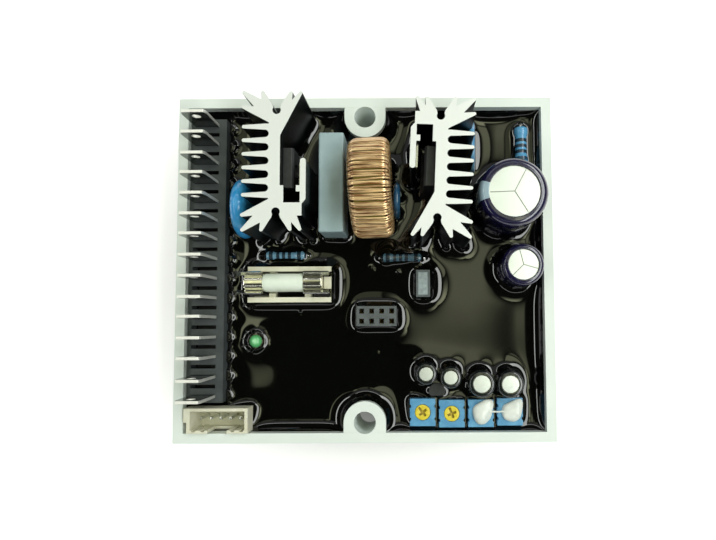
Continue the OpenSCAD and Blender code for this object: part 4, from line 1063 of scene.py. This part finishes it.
# the ring of resin close round the lamp stays up
inner[(from_lamp > 1.5) & (from_lamp < 2.6)] = False
inner[feet] = False
height[inner] = SUNK
for name in ("plug_header", "socket_header"):
    height[within(name, 0.35)] = SUNK_DEEP
height[within("terminal_block", 1.2)] = SUNK_DEEP
# resin has run into the fuse holder and covers its floor
height[within("fuse_holder", 0.6)] = HOLDER_FLOOR
print("points kept inside parts:", int(inner.sum()))

# %% Pour the resin
RESIN_BASE, HOLE_ROUND = 2.6, 4
bpy.ops.mesh.primitive_grid_add(x_subdivisions=columns - 1, y_subdivisions=rows - 1, size=1)
resin = bpy.context.object
spots = np.column_stack([across.ravel() * MM, up.ravel() * MM, (LEVEL + height.ravel()) * MM])
resin.data.vertices.foreach_set("co", spots.ravel())
resin.data.update()
edit(resin)


def over_hole(face):
    """Tells the faces that lie over one of the fixing holes."""
    spot = face.calc_center_median()
    return math.hypot(spot.x, abs(spot.y) - HOLE_Y * MM) < HOLE_ROUND * MM


pick(resin, over_hole)
bpy.ops.mesh.delete(type="FACE")
bpy.ops.mesh.select_all(action="SELECT")
bpy.ops.mesh.region_to_loop()
bpy.ops.mesh.extrude_region_move(TRANSFORM_OT_translate=move(0, 0, -1))
bpy.ops.transform.resize(value=(1, 1, 0), center_override=(0, 0, RESIN_BASE * MM))
bpy.ops.mesh.fill()
bpy.ops.mesh.select_all(action="SELECT")
bpy.ops.mesh.normals_make_consistent(inside=False)
close_edit()
settle(resin, "poured_resin", resin_black, ["potting_resin"], angle=80)

# %% [markdown]
# ## Pieces that keep their solids
# The board, the chip, the choke's core and the socket's contacts are hidden or deep inside, so their
# solids stay as they are and only take a finish.

# %% Finish the inner solids
inner_solids = {"circuit_board": board_green, "control_chip": mould_black, "choke_core": core_paint,
                "socket_contacts": contact_bronze_shaded}
for node, finish in inner_solids.items():
    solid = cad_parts[node]
    solid.data.materials.clear()
    solid.data.materials.append(finish)
print("inner solids finished:", len(inner_solids))

# %% [markdown]
# ## Camera
# The camera was worked out from the tray: its four rim corners and the lean of its upright parts give a
# wide lens about 134 mm above the rim, tipped a few degrees. The small shift keeps the object where the
# picture has it.

# %% Place the camera
# the picture's size and the focal length in pixels, and the camera's place in millimetres
WIDE, TALL, FOCAL, SENSOR = 716, 540, 530.0, 36
EYE = Vector((12.24, -13.89, 150.08))
centre_px, tilt, roll = (413.09, 290.49), 0.0591, -0.0047
lens = bpy.data.cameras.new("camera")
lens.sensor_width = SENSOR
lens.lens = FOCAL * SENSOR / WIDE
lens.shift_x = (WIDE / 2 - centre_px[0]) / WIDE
lens.shift_y = (centre_px[1] - TALL / 2) / WIDE
lens.clip_start = MM
camera = put("camera", lens)
right_way = Vector((1, 0, 0))
up_way = Vector((0, math.cos(tilt), math.sin(tilt)))
back_way = Vector((0, -math.sin(tilt), math.cos(tilt)))
x_axis = right_way * math.cos(roll) + up_way * math.sin(roll)
y_axis = up_way * math.cos(roll) - right_way * math.sin(roll)
turn = Matrix((x_axis, y_axis, back_way)).transposed().to_4x4()
camera.matrix_world = Matrix.Translation(EYE * MM) @ turn
bpy.context.scene.camera = camera
print("lens", round(lens.lens, 2), "mm")

# %% [markdown]
# ## Light
# The resin is a flat black mirror, so what hangs above it is seen in it. Panels overhead give its olive
# sheen, brighter towards the right, most of them with soft edges. A dark card beside the lens keeps the
# left of it black, and a dark ceiling hides the pale room. One long window lamp on the right and narrow
# strips on the other sides draw the white lines along the menisci and light the rest.


# %% Set the lamps
CEILING = 460


def panel(name, at, aim, size, glow, colour="#FBFFFB"):
    """A soft rectangular lamp whose face has a given brightness."""
    lamp = bpy.data.lights.new(name, "AREA")
    lamp.shape = "RECTANGLE"
    lamp.size, lamp.size_y = size[0] * MM, size[1] * MM
    lamp.energy = glow * math.pi * lamp.size * lamp.size_y
    lamp.color = linear(colour)[:3]
    item = put(name, lamp)
    item.location = [c * MM for c in at]
    item.rotation_euler = (Vector(at) - Vector(aim)).to_track_quat("Z", "Y").to_euler()
    item.visible_camera = False
    return lamp


def overhead(name, x, y, glow, colour="#FBFFFB"):
    """A panel on the ceiling over a span of x and y in millimetres."""
    middle = ((x[0] + x[1]) / 2, (y[0] + y[1]) / 2)
    return panel(name, (*middle, CEILING), (*middle, 0), (x[1] - x[0], y[1] - y[0]), glow, colour)


def fade(lamp, edge):
    """Lets a panel's glow die away over a share of its width and length at each edge, like a cloth front."""
    lamp.use_nodes = True
    spot = add(lamp, "NewGeometry", {})
    sides = add(lamp, "SeparateXYZ", {}, {"Vector": spot.outputs["Parametric"]})
    rises = []
    for axis in ("X", "Y"):
        inward = maths(lamp, "PINGPONG", sides.outputs[axis], 0.5)
        soft = {"interpolation_type": "SMOOTHSTEP", "From Max": edge}
        rises.append(add(lamp, "MapRange", soft, {"Value": inward}).outputs[0])
    feed(lamp.node_tree.nodes["Emission"], "Strength", maths(lamp, "MULTIPLY", *rises))


olive = "#FBFFD2"
fade(overhead("sheen_middle", (-25, 120), (-80, 250), 1.5, olive), 0.3)
fade(overhead("sheen_right", (45, 215), (-150, 50), 3.8, olive), 0.35)
fade(overhead("sheen_far_right", (60, 215), (-10, 250), 1.9, olive), 0.3)
overhead("sheen_far_left", (-130, -5), (75, 230), 0.6, olive)
fade(overhead("sheen_left", (-200, -130), (-120, 260), 2.6, olive), 0.3)
overhead("wide_far", (-400, 400), (235, 380), 0.4)
overhead("strip_left", (-470, -390), (-350, 350), 8.0)
overhead("strip_far", (-300, 380), (400, 440), 6.0)
overhead("strip_near", (-300, 380), (-440, -400), 3.0)
panel("window", (330, 0, 470), (0, 0, 10), (960, 140), 7.4)
print("lamps:", len(bpy.data.lights))

# %% Hang the dark cards
felt, shader = new_finish("felt, black", "#050505", Roughness=0.9)
cards = (("dark_card", (-26, -26, 152), (71, 108)), ("dark_ceiling", (0, 0, 530), (4000, 4000)))
for name, at, size in cards:
    bpy.ops.mesh.primitive_plane_add(size=1, location=[c * MM for c in at])
    card = bpy.context.object
    card.name = name
    card.scale = (size[0] * MM, size[1] * MM, 1)
    bpy.ops.object.transform_apply(location=True, rotation=True, scale=True)
    card.data.materials.append(felt)
    card.visible_camera = False
    card.visible_shadow = False
    card.visible_diffuse = False
print("dark cards:", len(cards))

# %% [markdown]
# ## Floor and surroundings
# The object lies on plain white paper that keeps the object's shadow. The world beyond it gives little
# light, because a dark room is what makes black resin and bright metal look the way they do. Both look
# white to the camera, straight or by way of metal and glass.


# %% Helper for what the camera sees
def shown(owner):
    """1 for rays from the camera and for those that come by way of metal or glass, 0 for plain light."""
    ray = add(owner, "LightPath", {}).outputs
    mirrored = maths(owner, "MAXIMUM", ray["Is Glossy Ray"], ray["Is Transmission Ray"])
    return maths(owner, "MAXIMUM", ray["Is Camera Ray"], mirrored)


# %% Lay the floor
SHADE_FROM, SHADE_TO = 38, 95
bpy.ops.mesh.primitive_plane_add(size=4, location=(0, 0, -0.02 * MM))
ground = bpy.context.object
ground.name = "floor"
paper, shader = new_finish("paper, white", "#DCDCDC", Roughness=0.9, Emission_Color=(1, 1, 1, 1))
# painted light: the paper glows to the camera, faintly near the object and fully white further out, so that
# its shadow stays close round it
away = add(paper, "VectorMath", {"operation": "LENGTH"}, {0: here(paper)})
span_of_shade = {"From Min": SHADE_FROM * MM, "From Max": SHADE_TO * MM, "To Min": 0.12, "To Max": 1.0}
rise = add(paper, "MapRange", span_of_shade, {"Value": away.outputs["Value"]})
feed(shader, "Emission Strength", maths(paper, "MULTIPLY", shown(paper), rise.outputs[0]))
ground.data.materials.append(paper)
print("floor laid")

# %% Set the surroundings
world = bpy.data.worlds.new("studio")
bpy.context.scene.world = world
world.use_nodes = True
back = world.node_tree.nodes["Background"]
# dim as a light, but white where the camera sees past the floor, also in metal and glass
level = add(world, "MapRange", {"To Min": 0.08, "To Max": 1.0}, {"Value": shown(world)})
feed(back, "Strength", level.outputs[0])
back.inputs["Color"].default_value = (1, 1, 1, 1)
bpy.context.scene.view_settings.view_transform = "Standard"
print("surroundings set")
